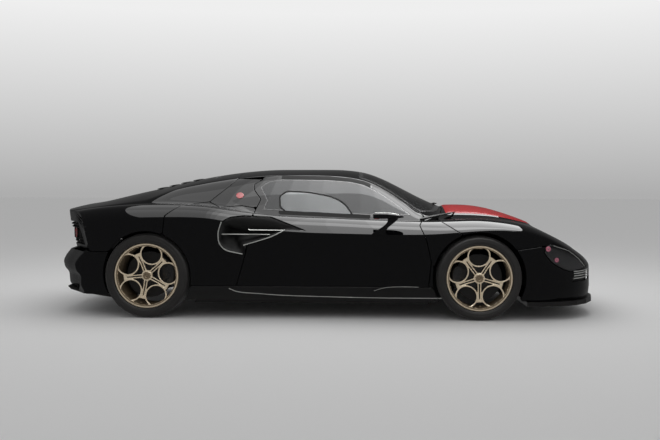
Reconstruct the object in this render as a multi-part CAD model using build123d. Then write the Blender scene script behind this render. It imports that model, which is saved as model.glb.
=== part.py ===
"""A two-seat, mid-engined supercar as an assembly of separate pieces.

+X points forward, +Y to the car's left and +Z up. The origin is on the ground
under the middle of the car. Every size is in millimetres.
"""
import math
import os

from build123d import *

os.makedirs("parts", exist_ok=True)

# ---- Driving sizes of the body ----
WHEELBASE = 2700
FRONT_OVERHANG = 1042
REAR_OVERHANG = 895
WIDTH = 1966
HEIGHT = 1226
LENGTH = REAR_OVERHANG + WHEELBASE + FRONT_OVERHANG
NOSE = LENGTH / 2
TAIL = -LENGTH / 2
FRONT_AXLE = NOSE - FRONT_OVERHANG
REAR_AXLE = FRONT_AXLE - WHEELBASE

# ---- Walls and clearances ----
PANEL = 25
DOOR = 90
GLASS = 6
FRAME_WALL = 30
GAP = 6
MOVING_GAP = 6
PLATE_GAP = 1
GLASS_GAP = 2
SEAT_GAP = 1
LAMP_DEPTH = 45
SCOOP_DEPTH = 55
DOOR_SKIN = 8
DOOR_FLANGE = 36
MESH_DEPTH = 14
MESH_OVERLAP = 10
FASCIA_DEPTH = 19
FASCIA_OVERLAP = 15
LENS_DEPTH = 8
EXHAUST_WALL = 5

# ---- Wheels and brakes ----
RIM_RADIUS = 254
RIM_LIP = 10
RIM_WALL = 12
HUB_RADIUS = 62
FRONT_TYRE_WIDTH = 245
FRONT_TYRE_RADIUS = 340
REAR_TYRE_WIDTH = 305
REAR_TYRE_RADIUS = 345.5
TYRE_SET_IN = 8
ARCH_CLEARANCE_FRONT = 33
ARCH_CLEARANCE_REAR = 20
SPINDLE_RADIUS = 28
SPINDLE_PLAY = 0.1
DISC_RADIUS = 190
DISC_THICKNESS = 34
DISC_FACE = 24
HAT_RADIUS = 92
HUB_FACE = 35
SPINDLE_END = 58
CALIPER_ARC = 62
CALIPER_WALL = 22
CALIPER_INNER = 112
PAD_GAP = 6
WINDOW_CIRCLE = 168
WINDOW_RADIUS = 64
WINDOWS = 5
RIM_SET_IN = 12
LIP_WIDTH = 11
FACE_THICKNESS = 24
FACE_SET_IN = 30
HAT_WALL = 8
BEAD_SET_IN = 24

# ---- Cabin ----
SEAT_WIDTH = 470
SEAT_CENTRE = 365
STEERING_RADIUS = 175
STEERING_GRIP = 15
STEERING_HUB = 18
COLUMN_TILT = 22
COLUMN_LENGTH = 300
COLUMN_RADIUS = 26
HUB_PAD_RADIUS = 38
SPOKE_WIDTH = 30
SPOKE_THICKNESS = 10
DASH_GAP = 4
MIRROR_ROUND = 20
LAMP_RADIUS = 52
EXHAUST_RADIUS = 50
EXHAUST_SPACING = 90

# ---- Steering and suspension ----
KINGPIN_OFFSET = 60
WELL_INNER = 560
STEERED_WELL = 65
LINER_OUTER = 835
LINER_WALL = 6
LINER_FOOT = 260
ROD_RADIUS = 13
CARRIER_RADIUS = 60
CARRIER_GAP = 12
POST_SIZE = 34
POST_TOP = 145
POST_BOTTOM = 115
BRACKET_THICKNESS = 14
BRACKET_HEIGHT = 60
BRACKET_REACH = 30
BRACKET_ROOT = 10
BARREL_REACH = 40
UPPER_ARM_SPREAD = 130
LOWER_ARM_SPREAD = 170

# The tables below give the body's key lines on the standard car. along(), across()
# and up() fit them to the driving sizes.
TABLE_FRONT_AXLE = 1276.5
TABLE_REAR_AXLE = -1423.5
TABLE_FRONT_OVERHANG = 1042
TABLE_REAR_OVERHANG = 895
TABLE_WIDTH = 1966
TABLE_HEIGHT = 1226

# Lower body: the top edge of the sill (x, y, z).
SILL = (
    (-2330, 760, 300), (-1900, 900, 260), (-1423, 950, 240), (-950, 940, 235),
    (-600, 925, 225), (0, 915, 215), (500, 920, 240), (850, 930, 260),
    (1276, 950, 260), (1640, 935, 250), (1950, 860, 240), (2080, 785, 235),
    (2180, 680, 230), (2260, 525, 225), (2300, 350, 222),
)
# Lower body: the narrow waist between the sill and the widest line.
WAIST = (
    (-2330, 800, 480), (-2150, 850, 480), (-1900, 925, 470), (-1423, 972, 460),
    (-950, 958, 450), (-600, 935, 440), (0, 922, 440), (500, 924, 440),
    (850, 938, 440), (1276, 962, 450), (1640, 942, 430), (1800, 915, 410),
    (1950, 862, 390), (2080, 782, 370), (2180, 672, 340), (2260, 512, 320),
    (2300, 340, 310),
)
# Lower body: the widest line, high over the rear wheels and low at the doors.
WIDEST = (
    (-2330, 830, 700), (-2150, 870, 735), (-1900, 935, 790), (-1650, 968, 808),
    (-1423, 981, 813), (-1150, 980, 815), (-950, 974, 810), (-700, 958, 765),
    (-450, 945, 705), (-200, 937, 682), (100, 934, 675), (500, 936, 678),
    (850, 947, 683), (1050, 960, 700), (1276, 970, 722), (1450, 967, 730),
    (1640, 950, 715), (1800, 920, 670), (1950, 865, 600), (2080, 780, 520),
    (2180, 665, 460), (2260, 500, 420), (2300, 330, 400),
)
# Lower body: the crest of the wings and haunches.
CREST = (
    (-2330, 740, 820), (-2150, 770, 862), (-1900, 800, 905), (-1650, 815, 930),
    (-1423, 820, 940), (-1150, 825, 938), (-950, 825, 925), (-700, 815, 885),
    (-450, 800, 850), (-200, 790, 832), (100, 785, 822), (500, 785, 806),
    (850, 785, 800), (1050, 775, 808), (1276, 760, 819), (1450, 740, 805),
    (1640, 705, 772), (1800, 670, 705), (1950, 610, 628), (2080, 530, 560),
    (2180, 430, 500), (2260, 300, 445), (2300, 180, 415),
)
# Lower body: the valley between each wing and the bonnet or the tail deck.
VALLEY = (
    (-2330, 500, 845), (-1900, 550, 898), (-1423, 560, 905), (-600, 600, 790),
    (600, 600, 770), (950, 620, 795), (1050, 620, 797), (1276, 610, 801),
    (1450, 585, 787), (1640, 540, 757), (1800, 480, 715), (1950, 400, 660),
    (2080, 310, 600), (2180, 230, 545), (2260, 150, 480), (2300, 80, 440),
)
# Lower body: the bonnet and deck along the car's centre (x, z).
DECK = (
    (-2330, 852), (-2150, 880), (-1900, 900), (-1423, 900), (-950, 860),
    (-600, 800), (0, 780), (600, 775), (800, 800), (950, 872), (1035, 893),
    (1170, 897), (1300, 891), (1415, 873), (1530, 843), (1660, 800), (1790, 750),
    (1900, 697), (2030, 625), (2150, 552), (2250, 478), (2310, 415),
)
# Greenhouse: its foot inside the lower body (x, y, z).
FOOT = (
    (-2330, 650, 800), (-1900, 690, 850), (-1450, 735, 900), (-1150, 765, 880),
    (-800, 790, 850), (-500, 790, 800), (0, 775, 780), (400, 765, 770),
    (700, 745, 770), (850, 720, 790), (950, 640, 830), (1040, 400, 860),
)
# Greenhouse: the rail where the side glass meets the roof and windscreen.
RAIL = (
    (-2330, 560, 848), (-1900, 600, 905), (-1650, 625, 940), (-1480, 630, 968),
    (-1385, 610, 1005), (-1290, 590, 1040), (-1057, 555, 1092), (-823, 525, 1130),
    (-638, 500, 1153), (-361, 480, 1168), (40, 475, 1162), (236, 490, 1144),
    (359, 510, 1117), (497, 545, 1055), (665, 600, 950), (849, 680, 829),
    (950, 590, 835), (1000, 450, 850), (1040, 200, 870),
)
# Greenhouse: the roof along the car's centre (x, z).
ROOF = (
    (-2330, 862), (-2200, 905), (-2000, 940), (-1780, 993), (-1430, 1072),
    (-1010, 1163), (-640, 1212), (-400, 1225), (0, 1229), (210, 1221),
    (360, 1196), (490, 1150), (680, 1057), (850, 970), (950, 925), (1030, 893),
)
LOWER_STATIONS = (
    -2330, -2180, -1950, -1700, -1420, -1100, -800, -400, 0, 450, 850, 1050,
    1276, 1500, 1700, 1900, 2080, 2200, 2280, 2318.5,
)
UPPER_STATIONS = (
    -2330, -2100, -1800, -1500, -1250, -1000, -750, -450, -100, 200, 380, 540,
    700, 830, 930, 1035,
)
LOWER_BULGES = (0.0, 0.02, 0.03, 0.10, -0.03)
FLOOR_HEIGHT = 150
FLOOR_TUCK = 30
UPPER_BULGE = 0.035
SMOOTH_REACH = 150
TIGHT_REACH = 70
SMOOTHING = (0.04, 0.12, 0.21, 0.26, 0.21, 0.12, 0.04)

# ---- Shut lines and openings on the standard car, in side view (x, z) ----
DOOR_REAR = (
    (-521, 1135), (-592, 1092), (-582, 1041), (-521, 968), (-551, 894),
    (-565, 860), (-578, 700), (-600, 570), (-632, 460), (-690, 262),
)
DOOR_FRONT = ((868, 262), (891, 467), (853, 642), (800, 760), (843, 833))
DOOR_RAIL = (
    (665, 950), (497, 1055), (359, 1117), (236, 1144), (40, 1162), (-361, 1168),
    (-521, 1159),
)
ROOF_REAR = ((-740, 1143), (-700, 1400))
WING_LINE = ((968, 798), (1127, 700), (1276, 500))
HAUNCH_LINE = (
    (-781, 1096), (-948, 945), (-1022, 936), (-1159, 917), (-1224, 872),
    (-1269, 835), (-1290, 600),
)
PILLAR_FOOT = ((-850, 901), (-679, 914))
BONNET_EDGE = ((1500, 560), (1817, 604), (1866, 620), (2005, 580), (2129, 490), (2195, 412))
LAMP_FOOT = ((2033, 385), (1967, 431), (1908, 513))
NOSE_EDGE = (2400, 470)
SKIRT_TOP = 262
SKIRT_BOTTOM = 150
SKIRT_INNER = 812
BUMPER_BOTTOM = 180
TAIL_CUT = 540
HIGH = 1400
LOW = 100
FAR = 2400
WINDOW = (
    (-470, 1118), (-540, 1070), (-470, 960), (-500, 880), (-100, 862), (400, 838),
    (740, 838), (620, 930), (470, 1030), (340, 1090), (230, 1115), (40, 1130),
    (-361, 1136),
)
SCOOP = (
    (-113, 715), (-414, 828), (-634, 840), (-741, 828), (-805, 790), (-835, 703),
    (-828, 614), (-775, 553), (-635, 525), (-627, 598), (-398, 665), (-292, 725),
)
CORNER_INTAKE = ((2075, 372), (2400, 392), (2400, 300), (2035, 300))

# ---- Openings and edges in plan view (x, y) and front view (y, z) ----
SCREEN = (
    (300, 430), (480, 480), (665, 545), (830, 610), (930, 530), (975, 410), (1012, 200),
)
ENGINE_WINDOW = ((-1560, 250), (-980, 300), (-860, 60))
GRILLE = ((330, 330), (260, 200), (-260, 200), (-330, 330), (-150, 385), (150, 385))
FASCIA = ((815, 585), (-815, 585), (-775, 775), (775, 775))
TAIL_CORNER = ((-1900, 1100), (-1985, 880), (-2204, 550))
BUMPER_CORNER = ((-1880, 1100), (-2095, 810), (-2262, 560))
CORNER_INTAKE_INNER = 430
ROOF_RAILS = tuple((x, y - 15) for x, y, z in RAIL if -900 < x < 1000)
ROOF_PLAN = ((-950, 800), (968, 800), (968, 540), (1005, 400), (1030, 200))

# ---- Other places on the standard car ----
SCOOP_INNER = 780
LAMP_PLACES = (-610, -470, 470, 610)
LAMP_HEIGHT = 680
LAMP_X = -2200
EXHAUST_HEIGHT = 330
EXHAUST_START = -2110
EXHAUST_SET_IN = 4
DIFFUSER_X = (-1800, -2262)
DIFFUSER_SIDE = 700
DIFFUSER_TOP = 250
DIFFUSER_WALL = 16
DIFFUSER_GAP = 11
FINS = 5
FIN_SPACING = 315
FIN_THICKNESS = 8
FIN_DROP = 10
TRAY_X = (-1040, 880)
TRAY_SIDE = 880
TRAY_BOTTOM = 125
SPLITTER_BOTTOM = 112
SPLITTER_REACH = (8, 6)
SPLITTER_START = 1700
SPLITTER_HEEL = (1660, 925)
SPLITTER_TIP = (2310, 180)
TUB_X = (-650, 850)
TUB_SIDE = 800
SCUTTLE_SIDE = 612
SILL_INNER = 700
SILL_TOP = 330
FLOOR_Z = (152, 185)
RAIL_INNER = 330
RAIL_OUTER = 400
FRONT_RAIL_END = 1960
FRONT_RAIL_Z = (260, 360)
REAR_RAIL_END = -2050
REAR_RAIL_Z = (300, 400)
BULKHEAD = 30
SCUTTLE_TOP = 770
COWL_X = 950
COWL_Z = (740, 870)
FRONT_BEAM = (40, 480)
REAR_BEAM = (40, 600)
BLOCK_X = (-1250, -660)
BLOCK_SIDE = 320
BLOCK_Z = (250, 760)
GEARBOX_X = (-1750, -1250)
GEARBOX_SIDE = 190
GEARBOX_Z = (260, 560)
CONSOLE_END = 520
CONSOLE_SIDE = 95
CONSOLE_TOP = 400
SEAT_PROFILE = (
    (190, 200), (200, 300), (-180, 262), (-330, 520), (-470, 860), (-560, 850),
    (-560, 760), (-380, 200),
)
STEERING_X = 330
STEERING_Z = 690
DASH_PROFILE = (
    (815, 520), (815, 800), (700, 812), (560, 760), (540, 650), (600, 540),
)
DASH_SIDE = 700
MIRROR_FOOT = ((445, 925, 668), (525, 925, 668), (525, 925, 692), (445, 925, 692))
MIRROR_NECK = ((560, 990, 835), (630, 990, 835), (630, 1012, 835), (560, 1012, 835))
MIRROR_X = (421, 667)
MIRROR_Y = (955, 1085)
MIRROR_LOW = 818
MIRROR_HIGH = 873


# ---- Fitting and smoothing the tables ----
def along(x):
    """The real place of a table's x, with each overhang and the wheelbase fitted apart."""
    if x > TABLE_FRONT_AXLE:
        return FRONT_AXLE + (x - TABLE_FRONT_AXLE) * FRONT_OVERHANG / TABLE_FRONT_OVERHANG
    if x < TABLE_REAR_AXLE:
        return REAR_AXLE + (x - TABLE_REAR_AXLE) * REAR_OVERHANG / TABLE_REAR_OVERHANG
    share = (x - TABLE_REAR_AXLE) / (TABLE_FRONT_AXLE - TABLE_REAR_AXLE)
    return REAR_AXLE + share * WHEELBASE


def across(y):
    """The real place of a table's y."""
    return y * WIDTH / TABLE_WIDTH


def up(z):
    """The real place of a table's z."""
    return z * HEIGHT / TABLE_HEIGHT


def on_line(table, column, x):
    """A table's value at x on straight runs, which go on past both ends."""
    pairs = [(row[0], row[column]) for row in table]
    for (x0, v0), (x1, v1) in zip(pairs, pairs[1:]):
        if x <= x1 or x1 == pairs[-1][0]:
            return v0 + (v1 - v0) * (x - x0) / (x1 - x0)


def smooth(table, column, x, reach=SMOOTH_REACH):
    """A table's value at x with its corners rounded over reach to each side."""
    middle = len(SMOOTHING) // 2
    steps = [(i - middle) / middle * reach for i in range(len(SMOOTHING))]
    return sum(w * on_line(table, column, x + step) for w, step in zip(SMOOTHING, steps))


# ---- Body surfaces ----
def arc_or_line(start, end, bulge):
    """An edge from start to end, bowed by bulge times its length."""
    if bulge == 0:
        return Edge.make_line(start, end)
    run = Vector(*end) - Vector(*start)
    side = math.copysign(1, start[1] + end[1])
    middle = (Vector(*start) + Vector(*end)) / 2
    middle += Vector(0, side * run.Z, -side * run.Y) * bulge
    return Edge.make_three_point_arc(start, middle, end)


def lower_points(x, wall):
    """The right half of a lower body section from the floor to the valley, and the deck."""
    sill, waist, widest, crest, valley = (
        (smooth(table, 1, x), smooth(table, 2, x))
        for table in (SILL, WAIST, WIDEST, CREST, VALLEY)
    )
    floor = (sill[0] - FLOOR_TUCK, FLOOR_HEIGHT)
    points = [
        (across(floor[0]) - wall, up(floor[1]) + wall),
        (across(sill[0]) - wall, up(sill[1]) + wall * 0.5),
        (across(waist[0]) - wall, up(waist[1])),
        (across(widest[0]) - wall, up(widest[1])),
        (across(crest[0]) - wall * 0.6, up(crest[1]) - wall),
        (across(valley[0]) - wall * 0.3, up(valley[1]) - wall),
    ]
    return points, up(smooth(DECK, 1, x, TIGHT_REACH)) - wall


def lower_section(x, wall):
    """A closed section of the lower body."""
    points, deck = lower_points(x, wall)
    station = along(x)
    edges = []
    for side in (1, -1):
        half = [(station, side * y, z) for y, z in points]
        edges += [arc_or_line(a, b, h) for a, b, h in zip(half, half[1:], LOWER_BULGES)]
    floor_y, floor_z = points[0]
    valley_y, valley_z = points[-1]
    edges.append(Edge.make_line((station, floor_y, floor_z), (station, -floor_y, floor_z)))
    edges.append(Edge.make_three_point_arc(
        (station, valley_y, valley_z), (station, 0, deck), (station, -valley_y, valley_z)))
    return Wire(edges)


def upper_section(x, wall):
    """A closed section of the greenhouse, with its foot inside the lower body."""
    station = along(x)
    foot_y = across(smooth(FOOT, 1, x, TIGHT_REACH)) - wall
    foot_z = up(smooth(FOOT, 2, x, TIGHT_REACH))
    rail_y = across(smooth(RAIL, 1, x, TIGHT_REACH)) - wall * 0.75
    rail_z = up(smooth(RAIL, 2, x, TIGHT_REACH)) - wall
    roof_z = up(smooth(ROOF, 1, x, TIGHT_REACH)) - wall
    base_z = up(600)
    edges = []
    for side in (1, -1):
        base, foot, rail = ((station, side * y, z) for y, z in (
            (foot_y, base_z), (foot_y, foot_z), (rail_y, rail_z)))
        edges += [arc_or_line(base, foot, 0), arc_or_line(foot, rail, UPPER_BULGE)]
    edges.append(Edge.make_line((station, foot_y, base_z), (station, -foot_y, base_z)))
    edges.append(Edge.make_three_point_arc(
        (station, rail_y, rail_z), (station, 0, roof_z), (station, -rail_y, rail_z)))
    return Wire(edges)


def fitted_prism(corners, gap, run):
    """A flat outline shrunk by half a gap (grown where gap is negative) and carried along run."""
    face = Face(Wire.make_polygon(corners))
    if gap:
        face = offset(face, amount=-gap / 2, kind=Kind.INTERSECTION).faces()[0]
    if face.normal_at().dot(Vector(*run)) < 0:
        face = -face
    return Solid.extrude(face, Vector(*run))


def side_prism(outline, gap=GAP):
    """A side-view outline (x, z) carried right across the car."""
    corners = [(along(x), -WIDTH, up(z)) for x, z in outline]
    return fitted_prism(corners, gap, (0, 2 * WIDTH, 0))


def plan_prism(outline, gap=GAP, bottom=0, top=HIGH):
    """A plan-view outline (x, y) carried upward."""
    corners = [(along(x), across(y), up(bottom)) for x, y in outline]
    return fitted_prism(corners, gap, (0, 0, up(top) - up(bottom)))


def end_prism(outline, start, end, gap=GAP):
    """A front-view outline (y, z) carried along the car."""
    corners = [(along(start), across(y), up(z)) for y, z in outline]
    return fitted_prism(corners, gap, (along(end) - along(start), 0, 0))


def mirrored(outline):
    """A right-hand plan outline closed by its mirror image."""
    return outline + tuple((x, -y) for x, y in reversed(outline))


def tail_trim(corner, bottom, top):
    """Everything ahead of the tail's bowed plan between two heights."""
    (x1, y1), (x2, y2), (x3, y3) = ((along(x), across(y)) for x, y in corner)
    far = 2 * NOSE
    rear = Edge.make_three_point_arc((x3, y3, bottom), (TAIL, 0, bottom), (x3, -y3, bottom))
    runs = [(x3, y3), (x2, y2), (x1, y1), (far, y1)]
    edges = [
        Edge.make_line((ax, side * ay, bottom), (bx, side * by, bottom))
        for side in (1, -1) for (ax, ay), (bx, by) in zip(runs, runs[1:])
    ]
    edges.append(Edge.make_line((far, y1, bottom), (far, -y1, bottom)))
    face = Face(Wire([rear] + edges))
    if face.normal_at().Z < 0:
        face = -face
    return Solid.extrude(face, Vector(0, 0, top - bottom))


def box(x, y, z):
    """A box from three (low, high) pairs on the tables."""
    x, y, z = [along(v) for v in x], [across(v) for v in y], [up(v) for v in z]
    size = [high - low for low, high in (x, y, z)]
    centre = [(high + low) / 2 for low, high in (x, y, z)]
    return Pos(*centre) * Box(*size)


def largest(shape, count):
    """The few largest solids of a cut, without the slivers beside a shut line."""
    solids = sorted(shape.solids(), key=lambda solid: solid.volume)[-count:]
    return Compound(children=solids)


def across_cylinder(x, y, z, radius, length):
    """A cylinder lying across the car, centred at a real place."""
    return Pos(x, y, z) * Rot(90, 0, 0) * Cylinder(radius, length)


class Surfaces:
    """The body's outer form and its hollow forms at each wall thickness."""

    def __init__(self):
        step = up(TAIL_CUT)
        lower = tail_trim(BUMPER_CORNER, -HEIGHT, step)
        self.trim = lower + tail_trim(TAIL_CORNER, step, 2 * HEIGHT)
        self.made = {}

    def lower(self, wall):
        """The lower body, set in by wall."""
        sections = [lower_section(x, wall) for x in self.stations(LOWER_STATIONS, wall)]
        return Solid.make_loft(sections, True)

    def upper(self, wall):
        """The greenhouse, set in by wall."""
        sections = [upper_section(x, wall) for x in self.stations(UPPER_STATIONS, 0)]
        return Solid.make_loft(sections, True)

    def stations(self, stations, wall):
        """The loft stations, with the first and last pulled in by wall."""
        return (stations[0] + wall, *stations[1:-1], stations[-1] - wall)

    def form(self, lower_wall, upper_wall=None):
        """The whole body, set in by its walls."""
        upper_wall = lower_wall if upper_wall is None else upper_wall
        key = (lower_wall, upper_wall)
        if key not in self.made:
            body = self.lower(lower_wall) + self.upper(upper_wall)
            shift = Pos(max(lower_wall, upper_wall), 0, 0)
            self.made[key] = body & (shift * self.trim)
        return self.made[key]


# ---- Wheels ----
class Wheel:
    """One wheel's place and sizes. v runs outward from its centre plane."""

    def __init__(self, name, front, side):
        self.name = name
        self.side = side
        self.front = front
        self.radius = FRONT_TYRE_RADIUS if front else REAR_TYRE_RADIUS
        self.width = FRONT_TYRE_WIDTH if front else REAR_TYRE_WIDTH
        self.x = FRONT_AXLE if front else REAR_AXLE
        table_x = TABLE_FRONT_AXLE if front else TABLE_REAR_AXLE
        self.y = side * (across(smooth(WIDEST, 1, table_x)) - TYRE_SET_IN - self.width / 2)
        self.arch = self.radius + (ARCH_CLEARANCE_FRONT if front else ARCH_CLEARANCE_REAR)

    def place(self, shape):
        """Move a shape made about the local Z axis (v) onto the axle."""
        return Pos(self.x, self.y, self.radius) * Rot(-90 * self.side, 0, 0) * shape

    def ring(self, profile):
        """A solid of revolution from an (r, v) outline."""
        face = Face(Wire.make_polygon([(r, 0, v) for r, v in profile]))
        return self.place(revolve(face, axis=Axis.Z))

    def tyre(self):
        """The tyre, with rounded shoulders and beads between the rim lips."""
        half = self.width / 2
        bead = half - BEAD_SET_IN
        side = [
            (RIM_RADIUS, bead), (RIM_RADIUS + RIM_LIP + 2, bead), (RIM_RADIUS + 18, half - 6),
            (RIM_RADIUS + 38, half), (self.radius - 25, half - 2), (self.radius - 8, half - 14),
            (self.radius, half - 38),
        ]
        return self.ring(side + [(r, -v) for r, v in reversed(side)])

    def rim(self):
        """The rim: a barrel with two lips, a face with five round windows and a hub."""
        edge = self.width / 2 - RIM_SET_IN
        inner = RIM_RADIUS - RIM_WALL
        lip = RIM_RADIUS + RIM_LIP
        seat = edge - LIP_WIDTH
        barrel = self.ring([
            (inner, -edge), (lip, -edge), (lip, -seat), (RIM_RADIUS, -seat),
            (RIM_RADIUS, seat), (lip, seat), (lip, edge), (inner, edge),
        ])
        face_middle = edge - FACE_SET_IN
        face = Pos(0, 0, face_middle) * Cylinder(inner + 1, FACE_THICKNESS)
        for index in range(WINDOWS):
            angle = math.radians(90 + 360 / WINDOWS * index)
            centre = (WINDOW_CIRCLE * math.cos(angle), WINDOW_CIRCLE * math.sin(angle))
            face -= Pos(*centre, face_middle) * Cylinder(WINDOW_RADIUS, 2 * FACE_THICKNESS)
        hub_end = face_middle + FACE_THICKNESS / 2 - 2
        hub = Pos(0, 0, (HUB_FACE + hub_end) / 2) * Cylinder(HUB_RADIUS, hub_end - HUB_FACE)
        bore_depth = SPINDLE_END + MOVING_GAP
        bore = Pos(0, 0, bore_depth / 2) * Cylinder(SPINDLE_RADIUS + SPINDLE_PLAY, bore_depth)
        return barrel + self.place((face + hub) - bore)

    def disc(self):
        """The brake disc with its hat, bored for the spindle."""
        bore = SPINDLE_RADIUS + SPINDLE_PLAY
        inner = HAT_RADIUS - HAT_WALL
        return self.ring([
            (bore, HUB_FACE), (bore, HUB_FACE - HAT_WALL), (inner, HUB_FACE - HAT_WALL),
            (inner, DISC_FACE - DISC_THICKNESS), (DISC_RADIUS, DISC_FACE - DISC_THICKNESS),
            (DISC_RADIUS, DISC_FACE), (HAT_RADIUS, DISC_FACE), (HAT_RADIUS, HUB_FACE),
        ])

    def carrier(self):
        """The hub carrier: a barrel, the spindle, ball-joint posts and a caliper bracket."""
        barrel_end = DISC_FACE - DISC_THICKNESS - CARRIER_GAP
        barrel_start = -KINGPIN_OFFSET - BARREL_REACH
        barrel = Pos(0, 0, (barrel_start + barrel_end) / 2)
        barrel *= Cylinder(CARRIER_RADIUS, barrel_end - barrel_start)
        spindle = Pos(0, 0, (barrel_start + SPINDLE_END) / 2)
        spindle *= Cylinder(SPINDLE_RADIUS, SPINDLE_END - barrel_start)
        carrier = self.place(barrel + spindle)
        post_y = self.y - self.side * KINGPIN_OFFSET
        post_height = POST_TOP + POST_BOTTOM
        post_z = self.radius + (POST_TOP - POST_BOTTOM) / 2
        carrier += Pos(self.x, post_y, post_z) * Box(POST_SIZE, POST_SIZE, post_height)
        reach = (CARRIER_RADIUS + CALIPER_INNER + BRACKET_REACH) / 2
        length = CALIPER_INNER + BRACKET_REACH - CARRIER_RADIUS + BRACKET_ROOT
        bracket_v = self.caliper_inner_face() - SEAT_GAP - BRACKET_THICKNESS / 2
        toward = -1 if self.front else 1
        carrier += Pos(self.x + toward * reach, self.y + self.side * bracket_v, self.radius) * Box(
            length, BRACKET_THICKNESS, BRACKET_HEIGHT)
        return carrier

    def caliper_inner_face(self):
        """The v of the caliper's inner side."""
        return DISC_FACE - DISC_THICKNESS - PAD_GAP - CALIPER_WALL

    def caliper(self):
        """The caliper: an arc that straddles the disc, behind the front axle or ahead of the rear."""
        low, high = self.caliper_inner_face(), DISC_FACE + PAD_GAP + CALIPER_WALL
        outer = DISC_RADIUS + PAD_GAP + CALIPER_WALL
        face = Face(Wire.make_polygon([
            (CALIPER_INNER, 0, low), (outer, 0, low), (outer, 0, high), (CALIPER_INNER, 0, high),
            (CALIPER_INNER, 0, DISC_FACE + PAD_GAP), (DISC_RADIUS + PAD_GAP, 0, DISC_FACE + PAD_GAP),
            (DISC_RADIUS + PAD_GAP, 0, DISC_FACE - DISC_THICKNESS - PAD_GAP),
            (CALIPER_INNER, 0, DISC_FACE - DISC_THICKNESS - PAD_GAP),
        ]))
        arc = revolve(face, axis=Axis.Z, revolution_arc=CALIPER_ARC)
        start = (180 if self.front else 0) - CALIPER_ARC / 2
        return self.place(Rot(0, 0, start) * arc)

    def arch_cutter(self):
        """The round opening of the wheel arch, from the well's inner wall outward."""
        inner, outer = across(WELL_INNER), WIDTH
        middle = self.side * (inner + outer) / 2
        return across_cylinder(self.x, middle, self.radius, self.arch, outer - inner)

    def liner(self):
        """The wheel-well liner: an arched sheet over the tyre's swept space."""
        radius = self.radius + (STEERED_WELL if self.front else ARCH_CLEARANCE_REAR + 2)
        inner, outer = across(WELL_INNER), across(LINER_OUTER)
        middle = self.side * (inner + outer) / 2
        sheet = across_cylinder(self.x, middle, self.radius, radius + LINER_WALL, outer - inner)
        sheet -= across_cylinder(self.x, middle, self.radius, radius, outer)
        below = Pos(self.x, 0, up(LINER_FOOT) - HEIGHT) * Box(LENGTH, 2 * WIDTH, 2 * HEIGHT)
        return sheet - below

    def arms(self):
        """Upper and lower wishbones, from the chassis rail to just clear of the carrier."""
        arms = None
        for z, spread in (
            (self.radius + POST_TOP + MOVING_GAP + ROD_RADIUS, UPPER_ARM_SPREAD),
            (self.radius - POST_BOTTOM - MOVING_GAP - ROD_RADIUS, LOWER_ARM_SPREAD),
        ):
            tip = Vector(self.x, self.y - self.side * KINGPIN_OFFSET, z)
            for end in (-spread, spread):
                root = Vector(self.x + end, self.side * (across(RAIL_OUTER) + SEAT_GAP), z)
                rod = Solid.make_cylinder(ROD_RADIUS, (tip - root).length, Plane(root, z_dir=tip - root))
                arms = rod if arms is None else arms + rod
            arms += Pos(*tip) * Sphere(ROD_RADIUS * 1.2)
        clear = Box(2 * LENGTH, 2 * (across(RAIL_OUTER) + SEAT_GAP), 4 * HEIGHT)
        return arms - clear


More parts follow.
